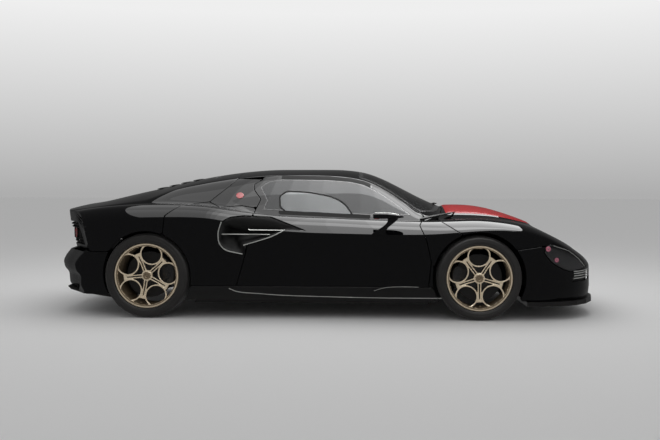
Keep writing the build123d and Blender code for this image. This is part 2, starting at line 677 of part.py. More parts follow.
# ---- Pieces of the body ----
class Body:
    """The body's panels, cut from the shell by their shut lines."""

    def __init__(self, wheels):
        self.surfaces = Surfaces()
        self.outer = self.surfaces.form(0)
        self.shell = self.outer - self.surfaces.form(PANEL)
        self.pane = self.outer - self.surfaces.form(GLASS)
        for wheel in wheels:
            self.shell -= wheel.arch_cutter()
        self.wheels = wheels

    def behind(self, near, far):
        """A sheet inside the body, from one depth below the surface to another."""
        return self.surfaces.form(near) - self.surfaces.form(far)

    def screen(self, gap):
        """The windscreen's outline in plan, above the rails."""
        return plan_prism(mirrored(SCREEN), gap, bottom=700)

    def roof(self):
        """The roof with its screen pillars, above the rails."""
        rail = ((1060, 872), (1000, 850), (950, 835), DOOR_FRONT[-1]) + DOOR_RAIL
        region = side_prism(rail + ROOF_REAR + ((1080, HIGH),))
        return (self.shell & region & plan_prism(mirrored(ROOF_PLAN))) - self.screen(-GLASS_GAP)

    def windscreen(self):
        """The windscreen pane."""
        return self.pane & self.screen(GLASS_GAP)

    def front_lid(self):
        """The bonnet and front wings in one clamshell."""
        edge = ((968, HIGH),) + WING_LINE + BONNET_EDGE + (NOSE_EDGE, (FAR, HIGH))
        return (self.shell & side_prism(edge)) - plan_prism(mirrored(ROOF_PLAN), -GAP)

    def front_fenders(self):
        """The fixed strips between the doors and the front clamshell."""
        edge = DOOR_FRONT + ((950, 835), (968, 840)) + WING_LINE + ((1276, SKIRT_TOP),)
        return self.shell & side_prism(edge)

    def front_bumper(self):
        """The nose below the clamshell and lamps, with its grille and corner intakes cut out."""
        edge = BONNET_EDGE[:2] + LAMP_FOOT[::-1] + (BONNET_EDGE[-1], NOSE_EDGE)
        back = ((FAR, BUMPER_BOTTOM), (1276, BUMPER_BOTTOM), (1276, 500), (1400, 560))
        region = side_prism(edge + back)
        return (self.shell & region) - self.intakes()

    def intakes(self):
        """The openings for the nose grille and the two corner intakes."""
        return end_prism(GRILLE, 1950, FAR, 0) + self.corner_intakes(0)

    def corner_intakes(self, gap):
        """The openings for the two corner intakes."""
        middle = box((1900, 2 * FAR), (-CORNER_INTAKE_INNER, CORNER_INTAKE_INNER), (LOW, HIGH))
        return side_prism(CORNER_INTAKE, gap) - middle

    def front_grille(self):
        """The grille and intake meshes, set back behind the bumper."""
        near = PANEL + SEAT_GAP
        far = near + MESH_DEPTH
        overlap = -2 * MESH_OVERLAP
        slab = Pos(NOSE - (near + far) / 2, 0, 0) * Box(MESH_DEPTH, 2 * WIDTH, 4 * HEIGHT)
        middle = self.surfaces.form(near) & (end_prism(GRILLE, 1950, FAR, overlap) & slab)
        corners = self.behind(near, far) & self.corner_intakes(overlap)
        return Compound(children=middle.solids() + corners.solids())

    def headlamps(self):
        """The lamp units in the wings."""
        outline = BONNET_EDGE[1:] + LAMP_FOOT
        return largest(self.behind(0, LAMP_DEPTH) & side_prism(outline), 2)

    def rear_lid(self):
        """The rear clamshell: tail deck, buttresses and haunches, with its window cut out."""
        edge = ROOF_REAR[::-1] + HAUNCH_LINE + ((-1423, 500), (-1650, TAIL_CUT), (-FAR, TAIL_CUT))
        lid = self.shell & side_prism(edge + ((-FAR, HIGH),))
        lid -= plan_prism(mirrored(ENGINE_WINDOW), -GLASS_GAP, bottom=800)
        return lid - end_prism(FASCIA, -1950, -FAR, 0)

    def engine_window(self):
        """The glass over the engine."""
        return self.pane & plan_prism(mirrored(ENGINE_WINDOW), GLASS_GAP, bottom=800)

    def rear_fascia(self):
        """The recessed panel between the tail lip and the bumper."""
        sheet = self.behind(PANEL + SEAT_GAP, PANEL + SEAT_GAP + FASCIA_DEPTH)
        return sheet & end_prism(FASCIA, -1950, -FAR, -2 * FASCIA_OVERLAP)

    def tail_lamps(self):
        """Four round lamps on the fascia."""
        discs = None
        for y in LAMP_PLACES:
            disc = Pos(along(LAMP_X), across(y), up(LAMP_HEIGHT)) * Rot(0, 90, 0)
            disc *= Cylinder(LAMP_RADIUS, 500)
            discs = disc if discs is None else discs + disc
        return self.behind(LENS_DEPTH, PANEL) & discs

    def rear_quarters(self):
        """The fixed sides between the doors and the rear wheels, with their air scoops."""
        edge = DOOR_REAR[4:] + ((-1300, SKIRT_TOP),) + HAUNCH_LINE[:0:-1] + PILLAR_FOOT
        return (self.shell & side_prism(edge)) - self.scoop()

    def scoop(self):
        """The air scoop's mouth, cut into the door's skin and through the quarter panel."""
        inner = across(SCOOP_INNER)
        through = side_prism(SCOOP, 0)
        return through - Box(2 * LENGTH, 2 * inner, 4 * HEIGHT)

    def c_pillars(self):
        """The blades between the doors and the rear clamshell."""
        edge = DOOR_REAR[:5] + PILLAR_FOOT[::-1] + HAUNCH_LINE[1::-1] + ROOF_REAR[:1]
        return largest(self.shell & side_prism(edge), 2)

    def rear_bumper(self):
        """The bumper, with a lowered middle for the diffuser and holes for the exhaust tips."""
        low, cut = BUMPER_BOTTOM, TAIL_CUT
        region = side_prism(((-1423, cut), (-FAR, cut), (-FAR, low), (-1423, low)))
        bumper = self.shell & region
        half = DIFFUSER_SIDE + DIFFUSER_GAP
        bumper -= box((-FAR, -1700), (-half, half), (0, DIFFUSER_TOP + DIFFUSER_GAP))
        return bumper - self.exhaust_rods(EXHAUST_RADIUS + GAP)

    def exhaust_rods(self, radius):
        """Two rods along the exhaust tips' lines."""
        rods = None
        for side in (-1, 1):
            end = TAIL + EXHAUST_SET_IN
            length = along(EXHAUST_START) - end
            middle = end + length / 2
            rod = Pos(middle, side * EXHAUST_SPACING, up(EXHAUST_HEIGHT)) * Rot(0, 90, 0)
            rod *= Cylinder(radius, length)
            rods = rod if rods is None else rods + rod
        return rods

    def exhaust_tips(self):
        """The two central exhaust tips."""
        return self.exhaust_rods(EXHAUST_RADIUS) - self.exhaust_rods(EXHAUST_RADIUS - EXHAUST_WALL)

    def side_skirts(self):
        """The sills under the doors, from arch to arch."""
        high, low = SKIRT_TOP, SKIRT_BOTTOM
        region = side_prism(((-1423, high), (-1423, low), (1276, low), (1276, high)))
        skirts = self.outer & region
        skirts -= Box(2 * LENGTH, 2 * across(SKIRT_INNER), 4 * HEIGHT)
        for wheel in self.wheels:
            skirts -= wheel.arch_cutter()
        return skirts

    def door(self, side):
        """One door: skin, inner wall and window frame."""
        edge = DOOR_REAR + DOOR_FRONT + DOOR_RAIL
        skin = self.behind(0, DOOR_SKIN) & side_prism(edge)
        lining = self.surfaces.form(DOOR_SKIN) - self.surfaces.form(DOOR, FRAME_WALL)
        door = skin + (lining & side_prism(edge, GAP + 2 * DOOR_FLANGE))
        door -= plan_prism(mirrored(ROOF_RAILS), 0, bottom=900)
        door -= side_prism(WINDOW, -GLASS_GAP)
        door -= self.scoop() & self.behind(0, SCOOP_DEPTH)
        return door & self.one_side(side)

    def door_glass(self, side):
        """One door's window."""
        return self.pane & side_prism(WINDOW, GLASS_GAP) & self.one_side(side)

    def one_side(self, side):
        """The half of space on one side of the car."""
        return Pos(0, side * WIDTH, 0) * Box(2 * LENGTH, 2 * WIDTH, 4 * HEIGHT)

    def mirror(self, side):
        """A door mirror: a head on a raked blade that stands on the door's widest line."""
        foot, neck = (
            Wire.make_polygon([(along(x), across(y), up(z)) for x, y, z in corners])
            for corners in (MIRROR_FOOT, MIRROR_NECK)
        )
        blade = Solid.make_loft([foot, neck], True) - self.outer
        x, y, z = (
            [fit(v) for v in pair] for fit, pair in
            ((along, MIRROR_X), (across, MIRROR_Y), (up, (MIRROR_LOW, MIRROR_HIGH)))
        )
        face = RectangleRounded(y[1] - y[0], z[1] - z[0], MIRROR_ROUND)
        plane = Plane((x[0], sum(y) / 2, sum(z) / 2), x_dir=(0, 1, 0), z_dir=(1, 0, 0))
        whole = extrude(plane * face, x[1] - x[0]) + blade
        return whole if side > 0 else mirror(whole, about=Plane.XZ)


# ---- Chassis and cabin ----
def tub(body):
    """The carbon tub: floor, sills, tunnel sides, bulkheads and the rails at both ends."""
    tub = box(TUB_X, (-TUB_SIDE, TUB_SIDE), FLOOR_Z)
    sill_z = (FLOOR_Z[1], SILL_TOP)
    for side in (-1, 1):
        sill_y = sorted((side * SILL_INNER, side * TUB_SIDE))
        tub += box(TUB_X, sill_y, sill_z)
        rail_y = sorted((side * RAIL_INNER, side * RAIL_OUTER))
        tub += box((TUB_X[1], FRONT_RAIL_END), rail_y, FRONT_RAIL_Z)
        tub += box((REAR_RAIL_END, TUB_X[0]), rail_y, REAR_RAIL_Z)
    scuttle = (-SCUTTLE_SIDE, SCUTTLE_SIDE)
    tub += box((TUB_X[1] - BULKHEAD, TUB_X[1]), scuttle, (FLOOR_Z[1], SCUTTLE_TOP))
    tub += box((TUB_X[1] - BULKHEAD, COWL_X), scuttle, COWL_Z)
    tub += box((TUB_X[0], TUB_X[0] + BULKHEAD), (-TUB_SIDE, TUB_SIDE), (FLOOR_Z[1], HIGH))
    depth, half = FRONT_BEAM
    tub += box((FRONT_RAIL_END, FRONT_RAIL_END + depth), (-half, half), FRONT_RAIL_Z)
    depth, half = REAR_BEAM
    tub += box((REAR_RAIL_END - depth, REAR_RAIL_END), (-half, half), REAR_RAIL_Z)
    return tub & body.surfaces.form(PANEL + SEAT_GAP)


def floor_tray():
    """The flat undertray below the tub."""
    return box(TRAY_X, (-TRAY_SIDE, TRAY_SIDE), (TRAY_BOTTOM, FLOOR_HEIGHT - PLATE_GAP))


def splitter():
    """The front splitter: a plate that follows the nose in plan."""
    out_x, out_y = SPLITTER_REACH
    edge = (SPLITTER_HEEL,) + tuple((x + out_x, y + out_y) for x, y, z in SILL if x > SPLITTER_START)
    edge += (SPLITTER_TIP,)
    return plan_prism(mirrored(edge), 0, SPLITTER_BOTTOM, FLOOR_HEIGHT - PLATE_GAP)


def diffuser(body):
    """The rear diffuser: a rising floor with fins below it."""
    start, end = DIFFUSER_X
    low, high, wall = TRAY_BOTTOM, DIFFUSER_TOP, DIFFUSER_WALL
    profile = ((start, low), (start, low + wall), (end, high), (end, high - wall))
    half = across(DIFFUSER_SIDE)
    ramp = side_prism(profile, 0) & Box(2 * LENGTH, 2 * half, 4 * HEIGHT)
    for index in range(FINS):
        y = across(FIN_SPACING) * (index - (FINS - 1) / 2)
        fin = side_prism(((start, low), (end, high - wall), (end, low + FIN_DROP)), 0)
        ramp += fin & Pos(0, y, 0) * Box(2 * LENGTH, FIN_THICKNESS, 4 * HEIGHT)
    return ramp & body.surfaces.trim


def engine():
    """The engine and gearbox as one plain block."""
    block = box(BLOCK_X, (-BLOCK_SIDE, BLOCK_SIDE), BLOCK_Z)
    return block + box(GEARBOX_X, (-GEARBOX_SIDE, GEARBOX_SIDE), GEARBOX_Z)


def seats():
    """Two bucket seats, each a raked shell with its cushion."""
    profile = Face(Wire.make_polygon([(along(x), -SEAT_WIDTH / 2, up(z)) for x, z in SEAT_PROFILE]))
    seat = Solid.extrude(profile, Vector(0, SEAT_WIDTH, 0))
    centre = across(SEAT_CENTRE)
    return (Pos(0, centre, 0) * seat) + (Pos(0, -centre, 0) * seat)


def console():
    """The tunnel between the seats."""
    start = TUB_X[0] + BULKHEAD + SEAT_GAP
    side = (-CONSOLE_SIDE, CONSOLE_SIDE)
    return box((start, CONSOLE_END), side, (FLOOR_Z[1] + SEAT_GAP, CONSOLE_TOP))


def steering_place():
    """The steering wheel's centre and its column's direction, toward the driver."""
    tilt = math.radians(COLUMN_TILT)
    centre = Vector(along(STEERING_X), across(SEAT_CENTRE), up(STEERING_Z))
    return centre, Vector(-math.cos(tilt), 0, math.sin(tilt))


def dashboard(body):
    """The dashboard with the steering column's stub."""
    dash = side_prism(DASH_PROFILE, 0) & Box(2 * LENGTH, 2 * across(DASH_SIDE), 4 * HEIGHT)
    centre, toward = steering_place()
    foot = centre - toward * COLUMN_LENGTH
    length = COLUMN_LENGTH - STEERING_HUB - MOVING_GAP
    stub = Solid.make_cylinder(COLUMN_RADIUS, length, Plane(foot, z_dir=toward))
    return (dash + stub) & body.surfaces.form(DOOR, FRAME_WALL + DASH_GAP)


def steering_wheel():
    """The steering wheel: a round grip, three spokes and a hub."""
    wheel = Torus(STEERING_RADIUS, STEERING_GRIP)
    wheel += Cylinder(HUB_PAD_RADIUS, 2 * STEERING_HUB)
    for angle in (0, 180, 270):
        spoke = Box(STEERING_RADIUS, SPOKE_WIDTH, SPOKE_THICKNESS)
        wheel += Rot(0, 0, angle) * Pos(STEERING_RADIUS / 2, 0, 0) * spoke
    centre, toward = steering_place()
    return Plane(centre, x_dir=(0, 1, 0), z_dir=toward) * wheel


# ---- Writing the pieces ----
def pair(make, items):
    """One shape from the same piece of several wheels."""
    shapes = [make(item) for item in items]
    joined = shapes[0]
    for shape in shapes[1:]:
        joined += shape
    return joined


def main():
    wheels = {
        f"{end}_{hand}": Wheel(f"{end}_{hand}", end == "front", side)
        for end in ("front", "rear") for hand, side in (("left", 1), ("right", -1))
    }
    fronts = [wheels["front_left"], wheels["front_right"]]
    rears = [wheels["rear_left"], wheels["rear_right"]]
    body = Body(wheels.values())
    nodes = {
        "tub": tub(body),
        "floor_tray": floor_tray(),
        "roof": body.roof(),
        "windscreen": body.windscreen(),
        "front_fenders": body.front_fenders(),
        "front_bumper": body.front_bumper(),
        "front_grille": body.front_grille(),
        "headlamps": body.headlamps(),
        "splitter": splitter(),
        "side_skirts": body.side_skirts(),
        "rear_quarters": body.rear_quarters(),
        "c_pillars": body.c_pillars(),
        "rear_bumper": body.rear_bumper(),
        "diffuser": diffuser(body),
        "exhaust_tips": body.exhaust_tips(),
        "front_lid": body.front_lid(),
        "rear_lid": body.rear_lid(),
        "engine_window": body.engine_window(),
        "rear_fascia": body.rear_fascia(),
        "tail_lamps": body.tail_lamps(),
        "wheel_liners": pair(Wheel.liner, fronts + rears),
        "suspension_arms": pair(Wheel.arms, fronts + rears),
        "rear_carriers": pair(Wheel.carrier, rears),
        "rear_calipers": pair(Wheel.caliper, rears),
        "engine": engine(),
        "seats": seats(),
        "console": console(),
        "dashboard": dashboard(body),
        "steering_wheel": steering_wheel(),
    }
    for hand, side in (("left", 1), ("right", -1)):
        nodes[f"door_{hand}"] = body.door(side)
        nodes[f"door_glass_{hand}"] = body.door_glass(side)
        nodes[f"mirror_{hand}"] = body.mirror(side)
        front = wheels[f"front_{hand}"]
        nodes[f"carrier_{hand}"] = front.carrier()
        nodes[f"caliper_{hand}"] = front.caliper()
    for name, wheel in wheels.items():
        nodes[f"tyre_{name}"] = wheel.tyre()
        nodes[f"rim_{name}"] = wheel.rim()
        nodes[f"disc_{name}"] = wheel.disc()
    for name, shape in nodes.items():
        export_step(shape, f"parts/{name}.step")
        print(name, len(shape.solids()), round(shape.volume / 1e6, 2))


main()
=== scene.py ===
"""The looks of a two-seat, mid-engined supercar, built around its CAD frame.

+X points forward, +Y to the car's left and +Z up, with the origin on the ground
under the middle of the car. Sizes are in millimetres, as the car's drawings are,
and turn into metres when a mesh is made.
"""

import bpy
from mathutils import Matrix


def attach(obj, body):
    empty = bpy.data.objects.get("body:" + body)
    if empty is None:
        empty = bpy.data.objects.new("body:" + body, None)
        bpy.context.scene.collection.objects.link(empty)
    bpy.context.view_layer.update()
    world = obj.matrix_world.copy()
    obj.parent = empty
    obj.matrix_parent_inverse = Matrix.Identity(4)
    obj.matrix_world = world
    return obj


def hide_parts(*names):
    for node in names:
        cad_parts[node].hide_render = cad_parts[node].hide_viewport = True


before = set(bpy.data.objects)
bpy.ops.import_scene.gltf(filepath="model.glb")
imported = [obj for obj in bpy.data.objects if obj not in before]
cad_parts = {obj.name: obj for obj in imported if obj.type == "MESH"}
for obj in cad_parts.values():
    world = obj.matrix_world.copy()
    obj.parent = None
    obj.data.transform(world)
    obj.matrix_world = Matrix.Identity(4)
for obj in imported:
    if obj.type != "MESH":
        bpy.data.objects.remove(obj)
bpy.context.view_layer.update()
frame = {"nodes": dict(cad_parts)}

import logging
import math
from collections.abc import Callable, Sequence
from dataclasses import dataclass, field
from enum import Enum
from functools import partial

import bpy
import numpy as np
from mathutils import Matrix, Vector

MM = 0.001
LOG = logging.getLogger("supercar")

Outline = Sequence[tuple[float, float]]
Table = Sequence[tuple[float, ...]]
Colour = tuple[float, float, float]
Line = tuple[np.ndarray, np.ndarray]

# ---- The car's driving sizes ----
NOSE = 2318.5
NOSE_END = 2311.0
TAIL = -2318.5
FRONT_AXLE = 1276.5
REAR_AXLE = -1423.5
FRONT_TYRE_RADIUS = 340.0
REAR_TYRE_RADIUS = 345.5
FRONT_TYRE_WIDTH = 245.0
REAR_TYRE_WIDTH = 305.0
FRONT_WHEEL_Y = 837.75
REAR_WHEEL_Y = 818.746
FRONT_ARCH = 373.0
REAR_ARCH = 365.5
WELL_EDGE = 500.0
FLOOR_HEIGHT = 150.0
GAP = 5.0
GLASS_GAP = 2.5

# ---- The body's key lines (x, y, z), from tail to nose ----
SILL = (
    (-2330, 760, 300), (-1900, 900, 260), (-1423, 950, 240), (-950, 940, 235),
    (-600, 925, 225), (0, 915, 215), (500, 920, 240), (850, 930, 260),
    (1276, 950, 260), (1640, 935, 250), (1950, 860, 240), (2080, 785, 235),
    (2180, 680, 230), (2260, 525, 225), (2300, 350, 222),
)
WAIST = (
    (-2330, 800, 480), (-2150, 850, 480), (-1900, 925, 470), (-1423, 972, 460),
    (-950, 958, 450), (-600, 935, 440), (0, 922, 440), (500, 924, 440),
    (850, 938, 440), (1276, 962, 450), (1640, 942, 430), (1800, 915, 410),
    (1950, 862, 390), (2080, 782, 370), (2180, 672, 340), (2260, 512, 320),
    (2300, 340, 310),
)
WIDEST = (
    (-2330, 830, 700), (-2150, 870, 735), (-1900, 935, 790), (-1650, 968, 808),
    (-1423, 981, 813), (-1150, 980, 815), (-950, 974, 810), (-700, 958, 765),
    (-450, 945, 705), (-200, 937, 682), (100, 934, 675), (500, 936, 678),
    (850, 947, 683), (1050, 960, 700), (1276, 970, 722), (1450, 967, 730),
    (1640, 950, 715), (1800, 920, 670), (1950, 865, 600), (2080, 780, 520),
    (2180, 665, 460), (2260, 500, 420), (2300, 330, 400),
)
CREST = (
    (-2330, 740, 820), (-2150, 770, 862), (-1900, 800, 905), (-1650, 815, 930),
    (-1423, 820, 940), (-1150, 825, 938), (-950, 825, 925), (-700, 815, 885),
    (-450, 800, 850), (-200, 790, 832), (100, 785, 822), (500, 785, 806),
    (850, 785, 800), (1050, 775, 808), (1276, 760, 819), (1450, 740, 805),
    (1640, 705, 772), (1800, 670, 705), (1950, 610, 628), (2080, 530, 560),
    (2180, 430, 500), (2260, 300, 445), (2300, 180, 415),
)
VALLEY = (
    (-2330, 500, 845), (-1900, 550, 898), (-1423, 560, 905), (-600, 600, 790),
    (600, 600, 770), (950, 620, 795), (1050, 620, 797), (1276, 610, 801),
    (1450, 585, 787), (1640, 540, 757), (1800, 480, 715), (1950, 400, 660),
    (2080, 310, 600), (2180, 230, 545), (2260, 150, 480), (2300, 80, 440),
)
DECK = (
    (-2330, 852), (-2150, 880), (-1900, 900), (-1423, 900), (-950, 860),
    (-600, 800), (0, 780), (600, 775), (800, 800), (950, 872), (1035, 893),
    (1170, 897), (1300, 891), (1415, 873), (1530, 843), (1660, 800), (1790, 750),
    (1900, 697), (2030, 625), (2150, 552), (2250, 478), (2310, 415),
)
FOOT = (
    (-2330, 650, 800), (-1900, 690, 850), (-1450, 735, 900), (-1150, 765, 880),
    (-800, 790, 850), (-500, 790, 800), (0, 775, 780), (400, 765, 770),
    (700, 745, 770), (850, 720, 790), (950, 640, 830), (1040, 400, 860),
)
RAIL = (
    (-2330, 560, 848), (-1900, 600, 905), (-1650, 625, 940), (-1480, 630, 968),
    (-1385, 610, 1005), (-1290, 590, 1040), (-1057, 555, 1092), (-823, 525, 1130),
    (-638, 500, 1153), (-361, 480, 1168), (40, 475, 1162), (236, 490, 1144),
    (359, 510, 1117), (497, 545, 1055), (665, 600, 950), (849, 680, 829),
    (950, 590, 835), (1000, 450, 850), (1040, 200, 870),
)
ROOF = (
    (-2330, 862), (-2200, 905), (-2000, 940), (-1780, 993), (-1430, 1072),
    (-1010, 1163), (-640, 1212), (-400, 1225), (0, 1226), (210, 1219),
    (360, 1196), (490, 1150), (680, 1057), (850, 970), (950, 925), (1030, 893),
)
LOWER_BULGES = (0.0, 0.02, 0.03, 0.10, -0.03)
UPPER_BULGE = 0.035
FLOOR_TUCK = 30.0
EASE = 58.0
TIGHT_EASE = 34.0
KEY_STEP = 4.0
KEY_OVERHANG = 400.0

# ---- Shut lines and openings in side view (x, z) ----
DOOR_REAR = (
    (-521, 1135), (-592, 1092), (-582, 1041), (-521, 968), (-551, 894),
    (-565, 860), (-578, 700), (-600, 570), (-632, 460), (-690, 262),
)
DOOR_FRONT = ((868, 262), (891, 467), (853, 642), (800, 760), (843, 833))
DOOR_RAIL = (
    (665, 950), (497, 1055), (359, 1117), (236, 1144), (40, 1162), (-361, 1168),
    (-521, 1159),
)
ROOF_REAR = ((-740, 1143), (-700, 1400))
WING_LINE = ((968, 798), (1127, 700), (1276, 500))
HAUNCH_LINE = (
    (-781, 1096), (-948, 945), (-1022, 936), (-1159, 917), (-1224, 872),
    (-1269, 835), (-1290, 600),
)
PILLAR_FOOT = ((-850, 901), (-679, 914))
BONNET_EDGE = ((1500, 560), (1817, 604), (1866, 620), (2005, 580), (2129, 490), (2195, 412))
LAMP_FOOT = ((2033, 385), (1950, 414), (1858, 466), (1786, 552))
NOSE_EDGE = (2400, 470)
WINDOW = (
    (-470, 1118), (-540, 1070), (-470, 960), (-500, 880), (-100, 862), (400, 838),
    (740, 838), (620, 930), (470, 1030), (340, 1090), (230, 1115), (40, 1130),
    (-361, 1136),
)
QUARTERLIGHT = (
    (-363, 1030), (-341, 866), (-130, 852), (100, 843), (248, 838), (226, 866), (182, 924),
    (107, 971), (20, 995), (-131, 1022),
)
SCOOP = (
    (-113, 715), (-414, 828), (-634, 840), (-741, 828), (-805, 790), (-835, 703),
    (-828, 614), (-775, 553), (-635, 525), (-627, 598), (-398, 665), (-292, 725),
)
CORNER_INTAKE = ((2075, 372), (2400, 392), (2400, 300), (2035, 300))
SKIRT_TOP = 262.0
BUMPER_BOTTOM = 180.0
TAIL_CUT = 540.0
HIGH = 1400.0
FAR = 2400.0

# ---- Openings and edges in plan (x, y) and from the front (y, z) ----
SCREEN = (
    (300, 430), (480, 480), (665, 545), (830, 610), (930, 530), (975, 410), (1012, 200),
)
ENGINE_WINDOW = ((-1560, 250), (-980, 300), (-860, 60))
GRILLE = ((330, 330), (260, 200), (-260, 200), (-330, 330), (-150, 385), (150, 385))
FASCIA = ((815, 585), (-815, 585), (-775, 775), (775, 775))

CORNER_INTAKE_INNER = 430.0
ROOF_PLAN = ((-950, 800), (968, 800), (968, 540), (1005, 400), (1030, 200))
STRIPE = (
    (1046, 458), (1211, 466), (1359, 460), (1533, 424), (1660, 366), (1745, 285), (1800, 180),
    (1826, 70),
)
BADGE = (-706.0, 1003.0)
BADGE_RADIUS = 33.0


class Side(Enum):
    """The car's two sides, by the sign of y."""

    LEFT = 1
    RIGHT = -1

    @property
    def hand(self) -> str:
        """The side's name as nodes and bodies spell it."""
        return self.name.lower()


# ---- Curves, outlines and distances ----
def eased(table: Table, column: int, ease: float = EASE) -> Callable[[np.ndarray], np.ndarray]:
    """Turns one column of a key-line table into a smooth function of x.

    Args:
        table: rows that start with x, from tail to nose.
        column: the column to follow.
        ease: how far each corner is rounded, as a Gaussian's width.

    Returns:
        A function from x to the column's value.
    """
    xs = np.array([row[0] for row in table], float)
    values = np.array([row[column] for row in table], float)
    slopes = np.diff(values) / np.diff(xs)
    tangent = np.empty_like(values)
    tangent[0], tangent[-1] = slopes[0], slopes[-1]
    steps = np.diff(xs)
    blend = (slopes[:-1] * steps[1:] + slopes[1:] * steps[:-1]) / (steps[:-1] + steps[1:])
    limit = 3 * np.minimum(np.abs(slopes[:-1]), np.abs(slopes[1:]))
    same = slopes[:-1] * slopes[1:] > 0
    tangent[1:-1] = np.where(same, np.clip(blend, -limit, limit), 0.0)
    dense = np.arange(xs[0] - KEY_OVERHANG, xs[-1] + KEY_OVERHANG + KEY_STEP, KEY_STEP)
    cell = np.clip(np.searchsorted(xs, dense) - 1, 0, len(xs) - 2)
    width = steps[cell]
    t = (dense - xs[cell]) / width
    inside = np.clip(t, 0, 1)
    a, b = inside**2 * (3 - 2 * inside), inside * (1 - inside)
    value = values[cell] * (1 - a) + values[cell + 1] * a
    value += width * b * (tangent[cell] * (1 - inside) - tangent[cell + 1] * inside)
    value += (t - inside) * width * np.where(t < 0, slopes[0], slopes[-1])
    reach = int(3 * ease / KEY_STEP)
    weights = np.exp(-0.5 * (np.arange(-reach, reach + 1) * KEY_STEP / ease) ** 2)
    smooth = np.convolve(np.pad(value, reach, mode="reflect", reflect_type="odd"),
                         weights / weights.sum(), mode="valid")
    return lambda x: np.interp(x, dense, smooth)


def softened(line: Outline, rounds: int = 2) -> list[tuple[float, float]]:
    """Cuts the corners of an open line, keeping both ends.

    Args:
        line: the line's points.
        rounds: how often each corner is cut.

    Returns:
        The softer line.
    """
    points = [tuple(map(float, p)) for p in line]
    for _ in range(rounds):
        cut = [points[0]]
        for (ax, ay), (bx, by) in zip(points, points[1:]):
            cut.append((0.75 * ax + 0.25 * bx, 0.75 * ay + 0.25 * by))
            cut.append((0.25 * ax + 0.75 * bx, 0.25 * ay + 0.75 * by))
        points = cut + [points[-1]]
    return points


def rounded(outline: Outline, rounds: int = 2) -> list[tuple[float, float]]:
    """Cuts the corners of a closed outline.

    Args:
        outline: its points.
        rounds: how often each corner is cut.

    Returns:
        The softer outline.
    """
    closed = list(outline) + [outline[0], outline[1]]
    middle = softened(closed, rounds)
    start = 2**rounds
    return middle[start:-start]


def mirrored(outline: Outline) -> list[tuple[float, float]]:
    """A right-hand plan outline closed by its mirror image."""
    return list(outline) + [(x, -y) for x, y in reversed(list(outline))]


def inside(outline: Outline, u: np.ndarray, v: np.ndarray) -> np.ndarray:
    """The signed distance from an outline, positive within it.

    Args:
        outline: a closed outline's corners.
        u: the points' first coordinates.
        v: the points' second coordinates.

    Returns:
        One distance for each point.
    """
    corners = np.array(outline, float)
    nearest = np.full(u.shape, 1e12)
    within = np.zeros(u.shape, bool)
    for (ax, ay), (bx, by) in zip(corners, np.roll(corners, -1, axis=0)):
        dx, dy = bx - ax, by - ay
        share = np.clip(((u - ax) * dx + (v - ay) * dy) / (dx * dx + dy * dy), 0, 1)
        nearest = np.minimum(nearest, (u - ax - share * dx) ** 2 + (v - ay - share * dy) ** 2)
        if ay != by:
            crosses = (ay > v) != (by > v)
            within ^= crosses & (u < (bx - ax) * (v - ay) / (by - ay) + ax)
    return np.where(within, 1, -1) * np.sqrt(nearest)


def smoothstep(t: np.ndarray) -> np.ndarray:
    """An easy ramp from 0 to 1."""
    t = np.clip(t, 0, 1)
    return t * t * (3 - 2 * t)


def hanned(values: np.ndarray, reach: int, odd: bool = False) -> np.ndarray:
    """Smooths a row of values with a bell-shaped window.

    Args:
        values: the row.
        reach: how many neighbours the window takes in either way.
        odd: whether the row's slope carries on past its ends; otherwise its ends stay level.

    Returns:
        The smoother row, as long as before.
    """
    window = np.hanning(2 * reach + 1)
    ends = {"mode": "reflect", "reflect_type": "odd"} if odd else {"mode": "edge"}
    return np.convolve(np.pad(values, reach, **ends), window / window.sum(), "valid")


# ---- Meshes from sheets ----
# A patch's data holds a place, a normal and then the distance fields, from this column on.
FIELD = 6


@dataclass
class Patch:
    """Triangles whose points carry a place, a normal and one or more distance fields."""

    data: np.ndarray
    tris: np.ndarray

    def split(self, column: int, level: float, keep: bool) -> "Patch":
        """Cuts the triangles along a field's level line.

        Args:
            column: the field's column in data.
            level: the value to cut at.
            keep: whether the part below the level stays.

        Returns:
            The new patch.
        """
        value = self.data[:, column]
        above = value >= level
        count = above[self.tris].sum(1)
        whole = self.tris[(count == 3) | ((count == 0) & keep)]
        mixed = self.tris[(count == 1) | (count == 2)]
        state = above[mixed]
        lone_up = state.sum(1) == 1
        lone = np.argmax(state == lone_up[:, None], axis=1)
        rows = np.arange(len(mixed))
        a, b, c = (mixed[rows, (lone + k) % 3] for k in range(3))
        edges = np.sort(np.concatenate([np.stack([a, b], 1), np.stack([a, c], 1)]), axis=1)
        unique, index = np.unique(edges, axis=0, return_inverse=True)
        index = index.reshape(-1)
        low, high = value[unique[:, 0]], value[unique[:, 1]]
        share = ((level - low) / (high - low))[:, None]
        extra = self.data[unique[:, 0]] * (1 - share) + self.data[unique[:, 1]] * share
        extra[:, column] = level
        p, q = len(self.data) + index[: len(a)], len(self.data) + index[len(a):]
        tip = np.stack([a, p, q], 1)
        rest = np.concatenate([np.stack([p, b, c], 1), np.stack([p, c, q], 1)])
        rest_up = np.concatenate([~lone_up, ~lone_up])
        if not keep:
            tip, rest = tip[lone_up], rest[rest_up]
        return Patch(np.concatenate([self.data, extra]), np.concatenate([whole, tip, rest]))

    def compact(self) -> "Patch":
        """Drops the points that no triangle uses."""
        used, index = np.unique(self.tris, return_inverse=True)
        return Patch(self.data[used], index.reshape(self.tris.shape))


